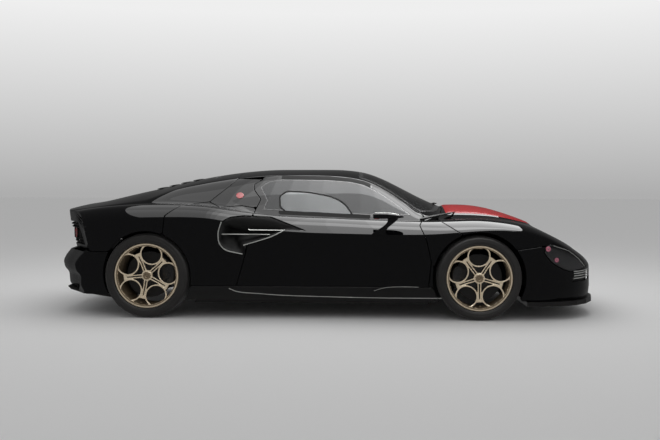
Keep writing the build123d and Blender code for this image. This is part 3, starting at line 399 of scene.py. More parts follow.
@dataclass
class Sheet:
    """A dense grid of points over a smooth surface, with its normals."""

    points: np.ndarray
    normals: np.ndarray = field(init=False)

    def __post_init__(self) -> None:
        """Works out the normals, which point straight ahead where the nose closes up."""
        along = np.gradient(self.points, axis=0)
        across = np.gradient(self.points, axis=1)
        normal = np.cross(along, across)
        length = np.linalg.norm(normal, axis=2, keepdims=True)
        self.normals = normal / np.maximum(length, 1e-9)
        folded = (self.points[..., 0] > NOSE_END) & (self.normals[..., 0] < 0.3)
        self.normals[folded] = (1.0, 0.0, 0.0)

    def raised(self, height: np.ndarray) -> "Sheet":
        """A copy lifted along its normals."""
        return Sheet(self.points + self.normals * height[..., None])

    def sunk(self, depth: float) -> "Sheet":
        """A copy sunk behind its normals."""
        return Sheet(self.points - self.normals * depth)

    def patch(self, fields: Sequence[np.ndarray]) -> Patch:
        """The grid as triangles.

        Args:
            fields: distance fields over the grid; the first bounds the patch.

        Returns:
            The triangles near and inside the first field.
        """
        rows, columns = self.points.shape[:2]
        index = np.arange(rows * columns).reshape(rows, columns)
        a, b = index[:-1, :-1].ravel(), index[1:, :-1].ravel()
        c, d = index[1:, 1:].ravel(), index[:-1, 1:].ravel()
        flip = (a // columns + a % columns) % 2 == 0
        first = np.where(flip[:, None], np.stack([a, b, c], 1), np.stack([a, b, d], 1))
        second = np.where(flip[:, None], np.stack([a, c, d], 1), np.stack([b, c, d], 1))
        tris = np.concatenate([first, second])
        bound = fields[0].ravel()
        tris = tris[(bound[tris] > 0).any(1)]
        stack = [self.points.reshape(-1, 3), self.normals.reshape(-1, 3)]
        stack += [f.reshape(-1, 1) for f in fields]
        return Patch(np.concatenate(stack, 1), tris).compact()


@dataclass
class Solid:
    """A mesh in millimetres: points, faces, a normal for each corner and a finish for each face."""

    points: np.ndarray
    faces: np.ndarray
    normals: np.ndarray | None = None
    finish: np.ndarray | None = None

    def moved(self, matrix: Matrix) -> "Solid":
        """Carries the solid by a matrix.

        Args:
            matrix: the move, which may mirror.

        Returns:
            A copy, the right way out.
        """
        m = np.array(matrix)
        points = self.points @ m[:3, :3].T + m[:3, 3]
        flip = np.linalg.det(m[:3, :3]) < 0
        faces = self.faces[:, ::-1] if flip else self.faces
        normals = None
        if self.normals is not None:
            normals = self.normals.reshape(len(self.faces), -1, 3) @ m[:3, :3].T
            normals = (normals[:, ::-1] if flip else normals).reshape(-1, 3)
        return Solid(points, faces, normals, self.finish)


def joined(solids: Sequence[Solid]) -> Solid:
    """Joins solids into one.

    Args:
        solids: the solids.

    Returns:
        One solid, in which each keeps its own points.
    """
    points, faces, normals, finish, start = [], [], [], [], 0
    for solid in solids:
        points.append(solid.points)
        faces.append(solid.faces + start)
        start += len(solid.points)
        normals.append(solid.normals)
        finish.append(np.zeros(len(solid.faces), int) if solid.finish is None else solid.finish)
    shaped = all(n is not None for n in normals)
    return Solid(np.concatenate(points), np.concatenate(faces),
                 np.concatenate(normals) if shaped else None, np.concatenate(finish))


def corner_normals(points: np.ndarray, faces: np.ndarray) -> np.ndarray:
    """Averages each point's normal over its faces, by their areas.

    Args:
        points: the points.
        faces: the triangles.

    Returns:
        One normal for each point.
    """
    a, b, c = (points[faces[:, k]] for k in range(3))
    flat = np.cross(b - a, c - a)
    total = np.zeros_like(points)
    for k in range(3):
        np.add.at(total, faces[:, k], flat)
    return total / np.maximum(np.linalg.norm(total, axis=1, keepdims=True), 1e-12)


def border_edges(tris: np.ndarray) -> np.ndarray:
    """Finds the edges that only one triangle has.

    Args:
        tris: the triangles.

    Returns:
        The edges, each in its triangle's direction.
    """
    halves = np.concatenate([tris[:, [0, 1]], tris[:, [1, 2]], tris[:, [2, 0]]])
    _, index, count = np.unique(np.sort(halves, axis=1), axis=0, return_index=True, return_counts=True)
    return halves[index[count == 1]]


def past_line(fields: np.ndarray) -> np.ndarray:
    """The second finish for faces past the line that the second field draws."""
    return (fields[:, 1] > 0).astype(int)


def panel(sheet: Sheet, fields: Sequence[np.ndarray], thickness: float, roll: float = 3.0,
          finishes: Callable[[np.ndarray], np.ndarray] = past_line) -> Solid:
    """A closed panel: a sheet cut to an outline, with rolled edges, a rim and a back.

    Args:
        sheet: the surface that the panel lies on.
        fields: the outline's distance field, then any lines that part two finishes.
        thickness: how far the back lies behind the face.
        roll: the radius of the edge.
        finishes: gives each face its finish from the fields' values, where there are such lines.

    Returns:
        The panel as a closed solid.
    """
    patch = sheet.patch(fields)
    for column in range(1, len(fields)):
        patch = patch.split(FIELD + column, 0.0, True)
    patch = patch.split(FIELD, 0.0, False)
    for share in (0.3, 1.0):
        patch = patch.split(FIELD, roll * share, True)
    patch = patch.compact()
    place, normal = patch.data[:, :3], patch.data[:, 3:6]
    normal = normal / np.linalg.norm(normal, axis=1, keepdims=True)
    depth = np.clip(roll - patch.data[:, FIELD], 0, roll)
    sink = roll - np.sqrt(np.maximum(roll**2 - depth**2, 0))
    face = place - normal * sink[:, None]
    back = place - normal * thickness
    shade = normal.copy()
    edge = patch.data[:, FIELD] < roll * 0.999
    shade[edge] = corner_normals(face, patch.tris)[edge]
    border = border_edges(patch.tris)
    total = len(place)
    rim = np.concatenate([
        np.stack([border[:, 1], border[:, 0], border[:, 0] + total], 1),
        np.stack([border[:, 1], border[:, 0] + total, border[:, 1] + total], 1),
    ])
    points = np.concatenate([face, back])
    flat = np.cross(points[rim[:, 1]] - points[rim[:, 0]], points[rim[:, 2]] - points[rim[:, 0]])
    flat /= np.maximum(np.linalg.norm(flat, axis=1, keepdims=True), 1e-12)
    behind = patch.tris[:, ::-1]
    normals = np.concatenate([
        shade[patch.tris].reshape(-1, 3), -normal[behind].reshape(-1, 3), np.repeat(flat, 3, axis=0),
    ])
    front = np.zeros(len(patch.tris), int)
    if len(fields) > 1:
        front = finishes(patch.data[patch.tris][:, :, FIELD:].mean(1))
    finish = np.concatenate([front, front * 0, np.zeros(len(rim), int)])
    return Solid(points, np.concatenate([patch.tris, behind + total, rim]), normals, finish)


# ---- The body's outer form ----
class Envelope:
    """The body's smooth outer form, as sheets that the panels are cut from."""

    STATION_STEP = 25.0
    TAIL_STEP = 8.0
    TAIL_START = -1750.0
    TAIL_GUESS = -2200.0
    TAIL_ROUNDS = 6
    TAIL_HALF = 960.0
    TAIL_RISE = 12.0
    REAR_END = -2328.0
    BENT_FRONT = -640.0
    WHOLE_REAR = -1500.0
    COWL = 960.0
    LOWER_REAR = -1480.0
    NOSE_START = 2050.0
    NOSE_STEP = 10.0
    NOSE_RINGS = 18
    NOSE_CLOSE = 0.985
    UPPER_REAR = -800.0
    UPPER_FRONT = 1040.0
    UPPER_BASE = 700.0
    MEETING_SAMPLES = 60
    LOWER_SAMPLES = (5, 10, 15, 16, 11, 26)
    LOWER_EASES = (0.0, 8.0, 45.0, 15.0, 36.0, 60.0, 60.0)
    UNION_SAMPLES = (5, 10, 15, 16, 10, 20, 24)
    UPPER_SAMPLES = (6, 22, 32)
    UPPER_EASES = (0.0, 0.0, 13.0, 0.0)
    SHARP_EASES = (0, 8, 45, 15, 30, 4, 13, 0)
    SOFT_EASES = (0, 8, 45, 22, 45, 46, 30, 20)
    SOFT_FROM = -450.0
    SOFT_RUN = 350.0
    LIP_PLAN = ((0, -2318), (275, -2289), (550, -2204), (715, -2101), (880, -1985), (1100, -1900))
    BUMPER_PLAN = ((0, -2318), (280, -2305), (560, -2262), (690, -2180), (810, -2093), (880, -2045),
                   (1100, -1880))
    LIP_LEAN = ((540, 68), (557, 60), (650, 38), (759, 12), (850, 0), (960, 0))
    BUMPER_LEAN = ((150, 92), (207, 84), (246, 56), (339, 50), (370, 15), (432, 0), (494, 32), (536, 72))

    def __init__(self) -> None:
        """Eases the key lines and lays out the sheets."""
        self.keys = {
            name: (eased(table, 1), eased(table, 2))
            for name, table in (("sill", SILL), ("waist", WAIST), ("widest", WIDEST),
                                ("crest", CREST), ("valley", VALLEY))
        }
        self.keys["foot"] = (eased(FOOT, 1, TIGHT_EASE), eased(FOOT, 2, TIGHT_EASE))
        self.keys["rail"] = (eased(RAIL, 1, TIGHT_EASE), eased(RAIL, 2, TIGHT_EASE))
        self.deck = eased(DECK, 1, TIGHT_EASE)
        self.crown = eased(ROOF, 1, TIGHT_EASE)
        self.lower = self.lower_sheet()
        self.upper = self.upper_sheet()
        self.whole = self.union_sheet(None, None)
        self.tail_lid = self.union_sheet(self.LIP_PLAN, self.LIP_LEAN)
        self.tail_bumper = self.union_sheet(self.BUMPER_PLAN, self.BUMPER_LEAN)

    def key(self, name: str, x: np.ndarray) -> Line:
        """A key line's y and z at x."""
        y, z = self.keys[name]
        return y(x), z(x)

    def run(self, start: Line, end: Line, bulge: float, count: int) -> np.ndarray:
        """Lays points from one key line to the next.

        Args:
            start: the first line's y and z.
            end: the second line's y and z.
            bulge: how far the run bows out, as a share of its length.
            count: how many points there are before the second line.

        Returns:
            The points (y, z) at each station.
        """
        t = (np.arange(count) / count)[None, :]
        (y0, z0), (y1, z1) = start, end
        y0, z0, y1, z1 = (np.asarray(v)[:, None] for v in (y0, z0, y1, z1))
        bow = 4 * t * (1 - t) * bulge
        return np.stack([y0 + t * (y1 - y0) + bow * (z1 - z0), z0 + t * (z1 - z0) - bow * (y1 - y0)], 2)

    def crowned(self, start: Line, top: np.ndarray, count: int) -> np.ndarray:
        """Lays points from a key line to the car's centre, on a shallow arch.

        Args:
            start: the line's y and z.
            top: the height at the centre.
            count: how many steps there are.

        Returns:
            The points (y, z) at each station.
        """
        t = np.linspace(1, 0, count + 1)[None, :]
        y, z = (np.asarray(v)[:, None] for v in start)
        return np.stack([y * t, top[:, None] - (top[:, None] - z) * t**2], 2)

    def lower_runs(self, x: np.ndarray) -> list[np.ndarray]:
        """Lays the lower body's runs from the floor edge to the car's centre.

        Args:
            x: the stations.

        Returns:
            The runs' points (y, z).
        """
        sill = self.key("sill", x)
        floor = (sill[0] - FLOOR_TUCK, np.full_like(x, FLOOR_HEIGHT))
        lines = [floor, sill] + [self.key(name, x) for name in ("waist", "widest", "crest", "valley")]
        runs = [self.run(a, b, bulge, count) for a, b, bulge, count
                in zip(lines, lines[1:], LOWER_BULGES, self.LOWER_SAMPLES)]
        return runs + [self.crowned(lines[-1], self.deck(x), self.LOWER_SAMPLES[-1])]

    def eased_across(self, half: np.ndarray, eases: np.ndarray) -> np.ndarray:
        """Rounds the key lines of half sections and mirrors them to whole ones.

        Args:
            half: the sections' points (y, z) from the right floor edge to the centre.
            eases: how far each point's surroundings are averaged.

        Returns:
            Whole sections from the right floor edge to the left one.
        """
        left = half[:, :-1][:, ::-1]
        right = half * np.array([-1.0, 1.0])
        whole = np.concatenate([right, left], 1)
        width = np.concatenate([eases, eases[:-1][::-1]])
        step = np.linalg.norm(np.diff(whole, axis=1), axis=2).mean(0)
        place = np.concatenate([[0], np.cumsum(step)])
        weights = np.exp(-0.5 * ((place[None] - place[:, None]) / np.maximum(width, 0.5)[:, None]) ** 2)
        weights *= np.gradient(place)[None]
        return np.einsum("ij,njk->nik", weights / weights.sum(1, keepdims=True), whole)

    def eases(self, values: Sequence[float], samples: Sequence[int]) -> np.ndarray:
        """The easing at each sample, blended from key line to key line."""
        stops = np.concatenate([[0], np.cumsum(samples)])
        return np.interp(np.arange(stops[-1] + 1), stops, values)

    def sheet(self, x: np.ndarray, whole: np.ndarray) -> Sheet:
        """A sheet from stations and their whole sections."""
        place = np.broadcast_to(x[:, None], whole.shape[:2])
        return Sheet(np.concatenate([place[..., None], whole], 2))

    def lower_sheet(self) -> Sheet:
        """Makes the lower body from the rear arches to the nose, closed at the nose.

        Returns:
            The sheet.
        """
        x = np.concatenate([np.arange(self.LOWER_REAR, self.NOSE_START, self.STATION_STEP),
                            np.arange(self.NOSE_START, NOSE_END, self.NOSE_STEP), [NOSE_END]])
        half = np.concatenate(self.lower_runs(x), 1)
        whole = self.eased_across(half, self.eases(self.LOWER_EASES, self.LOWER_SAMPLES))
        points = self.sheet(x, whole).points
        share = np.linspace(0, self.NOSE_CLOSE, self.NOSE_RINGS)[1:]
        nose = np.repeat(points[-1][None], len(share), 0)
        nose[..., 0] += (NOSE - 0.5 - NOSE_END) * np.sin(share * math.pi / 2)[:, None]
        nose[..., 1] *= (1 - share)[:, None]
        return Sheet(np.concatenate([points, nose]))

    def upper_sheet(self) -> Sheet:
        """Makes the greenhouse from the roof's rear edge to the cowl.

        Returns:
            The sheet.
        """
        x = np.arange(self.UPPER_REAR, self.UPPER_FRONT, self.STATION_STEP)
        foot, rail = self.key("foot", x), self.key("rail", x)
        below = (foot[0], np.full_like(x, self.UPPER_BASE))
        runs = [self.run(below, foot, 0, self.UPPER_SAMPLES[0]),
                self.run(foot, rail, UPPER_BULGE, self.UPPER_SAMPLES[1]),
                self.crowned(rail, self.crown(x), self.UPPER_SAMPLES[2])]
        eases = self.eases(self.UPPER_EASES, self.UPPER_SAMPLES)
        return self.sheet(x, self.eased_across(np.concatenate(runs, 1), eases))

    def glass_line(self, x: np.ndarray, z: np.ndarray) -> np.ndarray:
        """Finds the greenhouse side's y.

        Args:
            x: the stations.
            z: heights at each station.

        Returns:
            The y at each height.
        """
        foot, rail = self.key("foot", x), self.key("rail", x)
        foot_y, foot_z, rail_y, rail_z = (v[:, None] for v in (*foot, *rail))
        t = np.clip((z - foot_z) / (rail_z - foot_z), 0, 1)
        return foot_y + t * (rail_y - foot_y) + 4 * t * (1 - t) * UPPER_BULGE * (rail_z - foot_z)

    def union_half(self, x: np.ndarray) -> np.ndarray:
        """Lays half sections of the whole body, where the greenhouse stands on the lower body.

        Args:
            x: the stations.

        Returns:
            The sections' points (y, z).
        """
        runs = self.lower_runs(x)
        crest, valley = self.key("crest", x), self.key("valley", x)
        over = np.concatenate([self.run(crest, valley, LOWER_BULGES[-1], self.MEETING_SAMPLES),
                               self.crowned(valley, self.deck(x), self.MEETING_SAMPLES)], 1)
        apart = over[..., 0] - self.glass_line(x, over[..., 1])
        first = np.argmax(apart < 0, axis=1)
        rows = np.arange(len(x))
        a, b = apart[rows, first - 1], apart[rows, first]
        share = (a / (a - b))[:, None]
        joint = over[rows, first - 1] * (1 - share) + over[rows, first] * share
        joint = (joint[:, 0], joint[:, 1])
        rail = self.key("rail", x)
        rail = (rail[0], np.maximum(rail[1], joint[1] + 1))
        parts = runs[:4] + [
            self.run(crest, joint, LOWER_BULGES[-1], self.UNION_SAMPLES[4]),
            self.run(joint, rail, UPPER_BULGE, self.UNION_SAMPLES[5]),
            self.crowned(rail, self.crown(x), self.UNION_SAMPLES[6]),
        ]
        return np.concatenate(parts, 1)

    def union_sheet(self, plan: Outline | None, lean: Outline | None) -> Sheet:
        """The whole body behind the cowl, bent in plan to end on the tail's curve.

        Args:
            plan: the tail's curve (y, x), or None for a sheet that stops short of it.
            lean: how far the tail stands ahead of that curve at each height (z, x).

        Returns:
            The sheet.
        """
        start, step = (self.REAR_END, self.TAIL_STEP) if plan else (self.WHOLE_REAR, self.STATION_STEP)
        x = np.arange(start, self.COWL, step)
        half = self.union_half(x)
        sharp = self.eases(self.SHARP_EASES, self.UNION_SAMPLES)
        soft = self.eases(self.SOFT_EASES, self.UNION_SAMPLES)
        blend = smoothstep((self.SOFT_FROM - x) / self.SOFT_RUN)[:, None, None]
        whole = self.eased_across(half, sharp) * (1 - blend) + self.eased_across(half, soft) * blend
        if plan is None:
            return self.sheet(x, whole)
        stations = np.concatenate([np.arange(0, 1, 0.03), [1.0]])
        level = np.arange(self.TAIL_START + self.STATION_STEP, self.BENT_FRONT, self.STATION_STEP)[::-1]
        end = np.full(whole.shape[1], self.TAIL_GUESS)
        for _ in range(self.TAIL_ROUNDS):
            place = self.between(x, whole, end)
            end = self.tail_x(plan, lean, place[:, 0], place[:, 1])
        grid = np.concatenate([
            np.repeat(level[:, None], len(end), 1),
            self.TAIL_START + stations[:, None] * (end[None] - self.TAIL_START),
        ])[::-1]
        return Sheet(np.concatenate([grid[..., None], self.between(x, whole, grid)], 2))

    def between(self, x: np.ndarray, whole: np.ndarray, place: np.ndarray) -> np.ndarray:
        """The sections' points, column by column, at places between the tail's stations.

        Args:
            x: the stations.
            whole: their whole sections.
            place: an x for each column, in one row or more.

        Returns:
            The points (y, z) at those places.
        """
        row = np.clip((place - x[0]) / self.TAIL_STEP, 0, len(x) - 1.001)
        low = row.astype(int)
        t = (row - low)[..., None]
        columns = np.arange(whole.shape[1])
        return whole[low, columns] * (1 - t) + whole[low + 1, columns] * t

    def tail_x(self, plan: Outline, lean: Outline, y: np.ndarray, z: np.ndarray) -> np.ndarray:
        """The tail's x at places across and up.

        Args:
            plan: the tail's curve (y, x).
            lean: how far it stands ahead of that curve at each height (z, x).
            y: the places across.
            z: the places up.

        Returns:
            One x for each place.
        """
        curve, ahead = np.array(plan, float), np.array(lean, float)
        across = np.arange(-20, 1100, 5.0)
        value = hanned(np.interp(np.abs(across), curve[:, 0], curve[:, 1]), 12)
        heights = np.arange(0, 1100, 4.0)
        leaning = np.maximum(hanned(np.interp(heights, ahead[:, 0], ahead[:, 1]), 8), 0.6)
        return np.interp(np.abs(y), across, value) + np.interp(z, heights, leaning)

    def tail_wall(self, plan: Outline, lean: Outline, low: float, high: float) -> Sheet:
        """Lays the upright wall that closes the tail.

        Args:
            plan: the tail's curve (y, x).
            lean: how far it stands ahead of that curve at each height (z, x).
            low: the wall's lowest height.
            high: its highest height.

        Returns:
            The wall's sheet.
        """
        y = np.linspace(self.TAIL_HALF, -self.TAIL_HALF, 120)
        z = np.linspace(low, high, int((high - low) / self.TAIL_RISE) + 2)
        y_grid, z_grid = np.meshgrid(y, z, indexing="ij")
        x_grid = self.tail_x(plan, lean, y_grid, z_grid)
        return Sheet(np.stack([x_grid, y_grid, z_grid], 2))

    def on_side(self, x: float, z: float, side: Side) -> tuple[Vector, Vector]:
        """Finds a place on the body's side, below its crest.

        Args:
            x: the place along the car.
            z: the place up.
            side: the car's side.

        Returns:
            The point there and its normal.
        """
        reach = 6.0
        rise = 5.0
        half = self.union_half(np.array([x - reach, x, x + reach]))
        count = sum(self.UNION_SAMPLES[:4]) + 1
        y = [np.interp((z - rise, z, z + rise), h[:count, 1], h[:count, 0]) for h in half]
        slope_x, slope_z = (y[2][1] - y[0][1]) / (2 * reach), (y[1][2] - y[1][0]) / (2 * rise)
        normal = Vector((-slope_x, 1, -slope_z)).normalized()
        normal.y *= side.value
        return Vector((x, side.value * y[1][1], z)), normal


SLOPE_LEAST = 0.12
SLOPE_ROUNDS = 3


def along_surface(sheet: Sheet, value: np.ndarray) -> np.ndarray:
    """Turns a distance seen in one view into a distance along the surface.

    Args:
        sheet: the surface.
        value: the signed distance in side, plan or front view.

    Returns:
        The signed distance along the surface, right near zero.
    """
    i, j = np.gradient(sheet.points, axis=0), np.gradient(sheet.points, axis=1)
    fi, fj = np.gradient(value, axis=0), np.gradient(value, axis=1)
    ii, jj, ij = (i * i).sum(2), (j * j).sum(2), (i * j).sum(2)
    slope = (jj * fi**2 - 2 * ij * fi * fj + ii * fj**2) / np.maximum(ii * jj - ij**2, 1e-6)
    slope = np.clip(np.sqrt(np.maximum(slope, 0)), SLOPE_LEAST, 1.0)
    for _ in range(SLOPE_ROUNDS):
        padded = np.pad(slope, 1, mode="edge")
        slope = (padded[:-2, 1:-1] + padded[2:, 1:-1] + padded[1:-1, :-2] + padded[1:-1, 2:] + 2 * slope) / 6
    return value / slope


class View(Enum):
    """The view that an outline is drawn in."""

    SIDE = (0, 2)
    PLAN = (0, 1)
    END = (1, 2)


def seen(sheet: Sheet, outline: Outline, view: View) -> np.ndarray:
    """The distance along a sheet inside an outline."""
    u, v = (sheet.points[..., axis] for axis in view.value)
    return along_surface(sheet, inside(outline, u, v))


def region(sheet: Sheet, outline: Outline, view: View, gap: float = GAP) -> np.ndarray:
    """The distance along a sheet inside an outline, less half a gap."""
    return seen(sheet, outline, view) - gap / 2


def outside(sheet: Sheet, outline: Outline, view: View, gap: float = GAP) -> np.ndarray:
    """The distance along a sheet outside an outline, less half a gap."""
    return -seen(sheet, outline, view) - gap / 2


def arch_field(sheet: Sheet) -> np.ndarray:
    """Finds the distance along a sheet outside the wheel arches.

    Args:
        sheet: the surface.

    Returns:
        One distance for each of its points.
    """
    x, y, z = (sheet.points[..., axis] for axis in range(3))
    far = 1e5
    nearest = np.full(x.shape, far)
    for axle, height, radius in ((FRONT_AXLE, FRONT_TYRE_RADIUS, FRONT_ARCH),
                                 (REAR_AXLE, REAR_TYRE_RADIUS, REAR_ARCH)):
        away = np.hypot(x - axle, z - height) - radius
        away = np.where(np.abs(y) > WELL_EDGE, away, far)
        nearest = np.minimum(nearest, away)
    return np.where(nearest == far, far, along_surface(sheet, np.minimum(nearest, 400.0)))


def half_field(sheet: Sheet, side: Side) -> np.ndarray:
    """The distance from the car's centre plane on one side."""
    return sheet.points[..., 1] * side.value


# ---- Shader node groups ----
Value = bpy.types.NodeSocket | float


class Effect(Enum):
    """The shared surface effects, each built once as a shader node group."""

    PEEL = "orange_peel"
    FLAKE = "fine_flake"
    WEAVE = "twill_weave"
    GRAIN = "fine_grain"
    DUST = "settled_dust"
    BRUSH = "turned_lines"


class Effects:
    """Builds the shader node groups and places them in materials."""

    def __init__(self) -> None:
        """Builds every group once."""
        self.groups = {
            Effect.PEEL: self.peel_group(),
            Effect.FLAKE: self.flake_group(),
            Effect.WEAVE: self.weave_group(),
            Effect.GRAIN: self.grain_group(),
            Effect.DUST: self.dust_group(),
            Effect.BRUSH: self.brush_group(),
        }

    def start(self, effect: Effect, inputs: Sequence[tuple[str, float]],
              outputs: Sequence[str]) -> tuple[bpy.types.NodeTree, bpy.types.Node, bpy.types.Node]:
        """Starts a group with its named sockets.

        Args:
            effect: the effect's name.
            inputs: each number's name and usual value.
            outputs: each number that the group puts out.

        Returns:
            The group, its input node and its output node.
        """
        group = bpy.data.node_groups.new(effect.value, "ShaderNodeTree")
        kind = "NodeSocketFloat"
        for name, value in inputs:
            socket = group.interface.new_socket(name=name, in_out="INPUT", socket_type=kind)
            socket.default_value = value
        for name in outputs:
            group.interface.new_socket(name=name, in_out="OUTPUT", socket_type=kind)
        return group, group.nodes.new("NodeGroupInput"), group.nodes.new("NodeGroupOutput")

    def place(self, group: bpy.types.NodeTree) -> bpy.types.NodeSocket:
        """The object's own coordinates."""
        return group.nodes.new("ShaderNodeTexCoord").outputs["Object"]

    def feed(self, group: bpy.types.NodeTree, value: Value, socket: bpy.types.NodeSocket) -> None:
        """Links a socket to another, or sets its number.

        Args:
            group: the group.
            value: the socket that feeds it, or the number.
            socket: the socket that is fed.
        """
        if isinstance(value, bpy.types.NodeSocket):
            group.links.new(value, socket)
        else:
            socket.default_value = value

    def math(self, group: bpy.types.NodeTree, kind: str, *values: Value) -> bpy.types.NodeSocket:
        """Adds a maths node.

        Args:
            group: the group.
            kind: the operation.
            values: sockets or numbers.

        Returns:
            The result.
        """
        node = group.nodes.new("ShaderNodeMath")
        node.operation = kind
        for socket, value in zip(node.inputs, values):
            self.feed(group, value, socket)
        return node.outputs[0]

    def axes(self, group: bpy.types.NodeTree, place: bpy.types.NodeSocket) -> bpy.types.NodeOutputs:
        """A place's X, Y and Z."""
        split = group.nodes.new("ShaderNodeSeparateXYZ")
        group.links.new(place, split.inputs[0])
        return split.outputs

    def cells(self, group: bpy.types.NodeTree, scale: bpy.types.NodeSocket) -> bpy.types.Node:
        """Scatters cells through the part's own space.

        Args:
            group: the group.
            scale: the socket that sets how fine they are.

        Returns:
            The texture node.
        """
        node = group.nodes.new("ShaderNodeTexVoronoi")
        group.links.new(self.place(group), node.inputs["Vector"])
        group.links.new(scale, node.inputs["Scale"])
        return node

    def noise(self, group: bpy.types.NodeTree, scale: Value, detail: float = 3.0,
              vector: bpy.types.NodeSocket | None = None) -> bpy.types.NodeSocket:
        """Adds a noise texture.

        Args:
            group: the group.
            scale: how fine it is.
            detail: how many finer layers it adds.
            vector: the place it is read at, or the part's own.

        Returns:
            The value.
        """
        node = group.nodes.new("ShaderNodeTexNoise")
        node.inputs["Detail"].default_value = detail
        group.links.new(vector or self.place(group), node.inputs["Vector"])
        self.feed(group, scale, node.inputs["Scale"])
        return node.outputs["Fac"]

    def peel_group(self) -> bpy.types.NodeTree:
        """The slight waviness of sprayed lacquer."""
        group, source, sink = self.start(Effect.PEEL, (("Scale", 26.0),), ("Height",))
        group.links.new(self.noise(group, source.outputs["Scale"], 2.0), sink.inputs["Height"])
        return group

    def flake_group(self) -> bpy.types.NodeTree:
        """Metal flakes: a mask of tiny cells, each a little lighter or darker.

        Returns:
            The group.
        """
        group, source, sink = self.start(Effect.FLAKE, (("Scale", 900.0), ("Spread", 0.5)), ("Shade",))
        cells = self.cells(group, source.outputs["Scale"])
        shade = self.math(group, "SUBTRACT", cells.outputs["Color"], 0.5)
        shade = self.math(group, "MULTIPLY", shade, source.outputs["Spread"])
        group.links.new(self.math(group, "ADD", shade, 1.0), sink.inputs["Shade"])
        return group

    def weave_group(self) -> bpy.types.NodeTree:
        """A two-by-two carbon twill: a shade for each tow and its height.

        Returns:
            The group.
        """
        group, source, sink = self.start(Effect.WEAVE, (("Scale", 260.0),), ("Shade", "Height"))
        place = self.axes(group, self.place(group))
        across = self.math(group, "ADD", place["Y"], place["Z"])
        u = self.math(group, "MULTIPLY", place["X"], source.outputs["Scale"])
        v = self.math(group, "MULTIPLY", across, source.outputs["Scale"])
        step = self.math(group, "FLOOR", u)
        row = self.math(group, "FLOOR", v)
        phase = self.math(group, "PINGPONG", self.math(group, "ADD", step, row), 2.0)
        warp = self.math(group, "GREATER_THAN", phase, 0.9)
        bow_u = self.math(group, "PINGPONG", u, 0.5)
        bow_v = self.math(group, "PINGPONG", v, 0.5)
        up = self.math(group, "MULTIPLY", warp, bow_v)
        flat = self.math(group, "MULTIPLY", self.math(group, "SUBTRACT", 1.0, warp), bow_u)
        height = self.math(group, "ADD", up, flat)
        group.links.new(height, sink.inputs["Height"])
        group.links.new(self.math(group, "MULTIPLY_ADD", warp, 0.9, 0.55), sink.inputs["Shade"])
        return group

    def grain_group(self) -> bpy.types.NodeTree:
        """Leather or moulded grain: rounded cells with creases between them.

        Returns:
            The group.
        """
        group, source, sink = self.start(Effect.GRAIN, (("Scale", 300.0),), ("Height", "Shade"))
        cells = self.cells(group, source.outputs["Scale"])
        cells.feature = "SMOOTH_F1"
        fine = self.noise(group, source.outputs["Scale"], 4.0)
        swell = self.math(group, "SUBTRACT", 1.0, cells.outputs["Distance"])
        group.links.new(self.math(group, "MULTIPLY_ADD", fine, 0.4, swell), sink.inputs["Height"])
        cloud = self.noise(group, 7.0)
        group.links.new(self.math(group, "MULTIPLY_ADD", cloud, 0.35, 0.82), sink.inputs["Shade"])
        return group

    def dust_group(self) -> bpy.types.NodeTree:
        """A broken film of dust, thicker low down.

        Returns:
            The group.
        """
        group, source, sink = self.start(Effect.DUST, (("Amount", 0.2), ("Top", 0.35)), ("Mask",))
        place = self.axes(group, group.nodes.new("ShaderNodeNewGeometry").outputs["Position"])
        low = self.math(group, "SUBTRACT", source.outputs["Top"], place["Z"])
        low = self.math(group, "MAXIMUM", self.math(group, "MULTIPLY", low, 3.0), 0.1)
        patchy = self.math(group, "MULTIPLY", self.noise(group, 9.0, 6.0), low)
        mask = self.math(group, "MULTIPLY", patchy, source.outputs["Amount"])
        mask.node.use_clamp = True
        group.links.new(mask, sink.inputs["Mask"])
        return group

    def brush_group(self) -> bpy.types.NodeTree:
        """Fine turned rings about the part's own Y axis.

        Returns:
            The group.
        """
        group, source, sink = self.start(Effect.BRUSH, (("Rings", 900.0),), ("Height", "Shade"))
        place = self.axes(group, self.place(group))
        square = self.math(group, "MULTIPLY", place["X"], place["X"])
        other = self.math(group, "MULTIPLY", place["Z"], place["Z"])
        radius = self.math(group, "SQRT", self.math(group, "ADD", square, other))
        line = group.nodes.new("ShaderNodeCombineXYZ")
        group.links.new(self.math(group, "MULTIPLY", radius, source.outputs["Rings"]), line.inputs["X"])
        value = self.noise(group, 1.0, 2.0, line.outputs[0])
        group.links.new(value, sink.inputs["Height"])
        group.links.new(self.math(group, "MULTIPLY_ADD", value, 0.4, 0.8), sink.inputs["Shade"])
        return group


# ---- Finishes ----
@dataclass(frozen=True)
class Finish:
    """One finish: the plain numbers of its shader and the effects that vary it."""

    name: str
    colour: Colour
    roughness: float = 0.4
    metallic: float = 0.0
    coat: float = 0.0
    coat_roughness: float = 0.03
    specular: float = 0.5
    transmission: float = 0.0
    ior: float = 1.5
    glow: float = 0.0
    sheen: float = 0.0
    shade: Effect | None = None
    shade_scale: float = 300.0
    bump: Effect | None = None
    bump_scale: float = 300.0
    bump_depth: float = 0.0
    dust: float = 0.0
    dust_top: float = 0.35


def surface(shade: Effect, shade_scale: float, bump: Effect, bump_scale: float,
            bump_depth: float) -> dict[str, Effect | float]:
    """A surface's shade and relief, as a finish takes them."""
    return {"shade": shade, "shade_scale": shade_scale, "bump": bump, "bump_scale": bump_scale,
            "bump_depth": bump_depth}


LACQUER = surface(Effect.FLAKE, 1400, Effect.PEEL, 34, 0.0006)
HIDE = surface(Effect.GRAIN, 420, Effect.GRAIN, 420, 0.25)


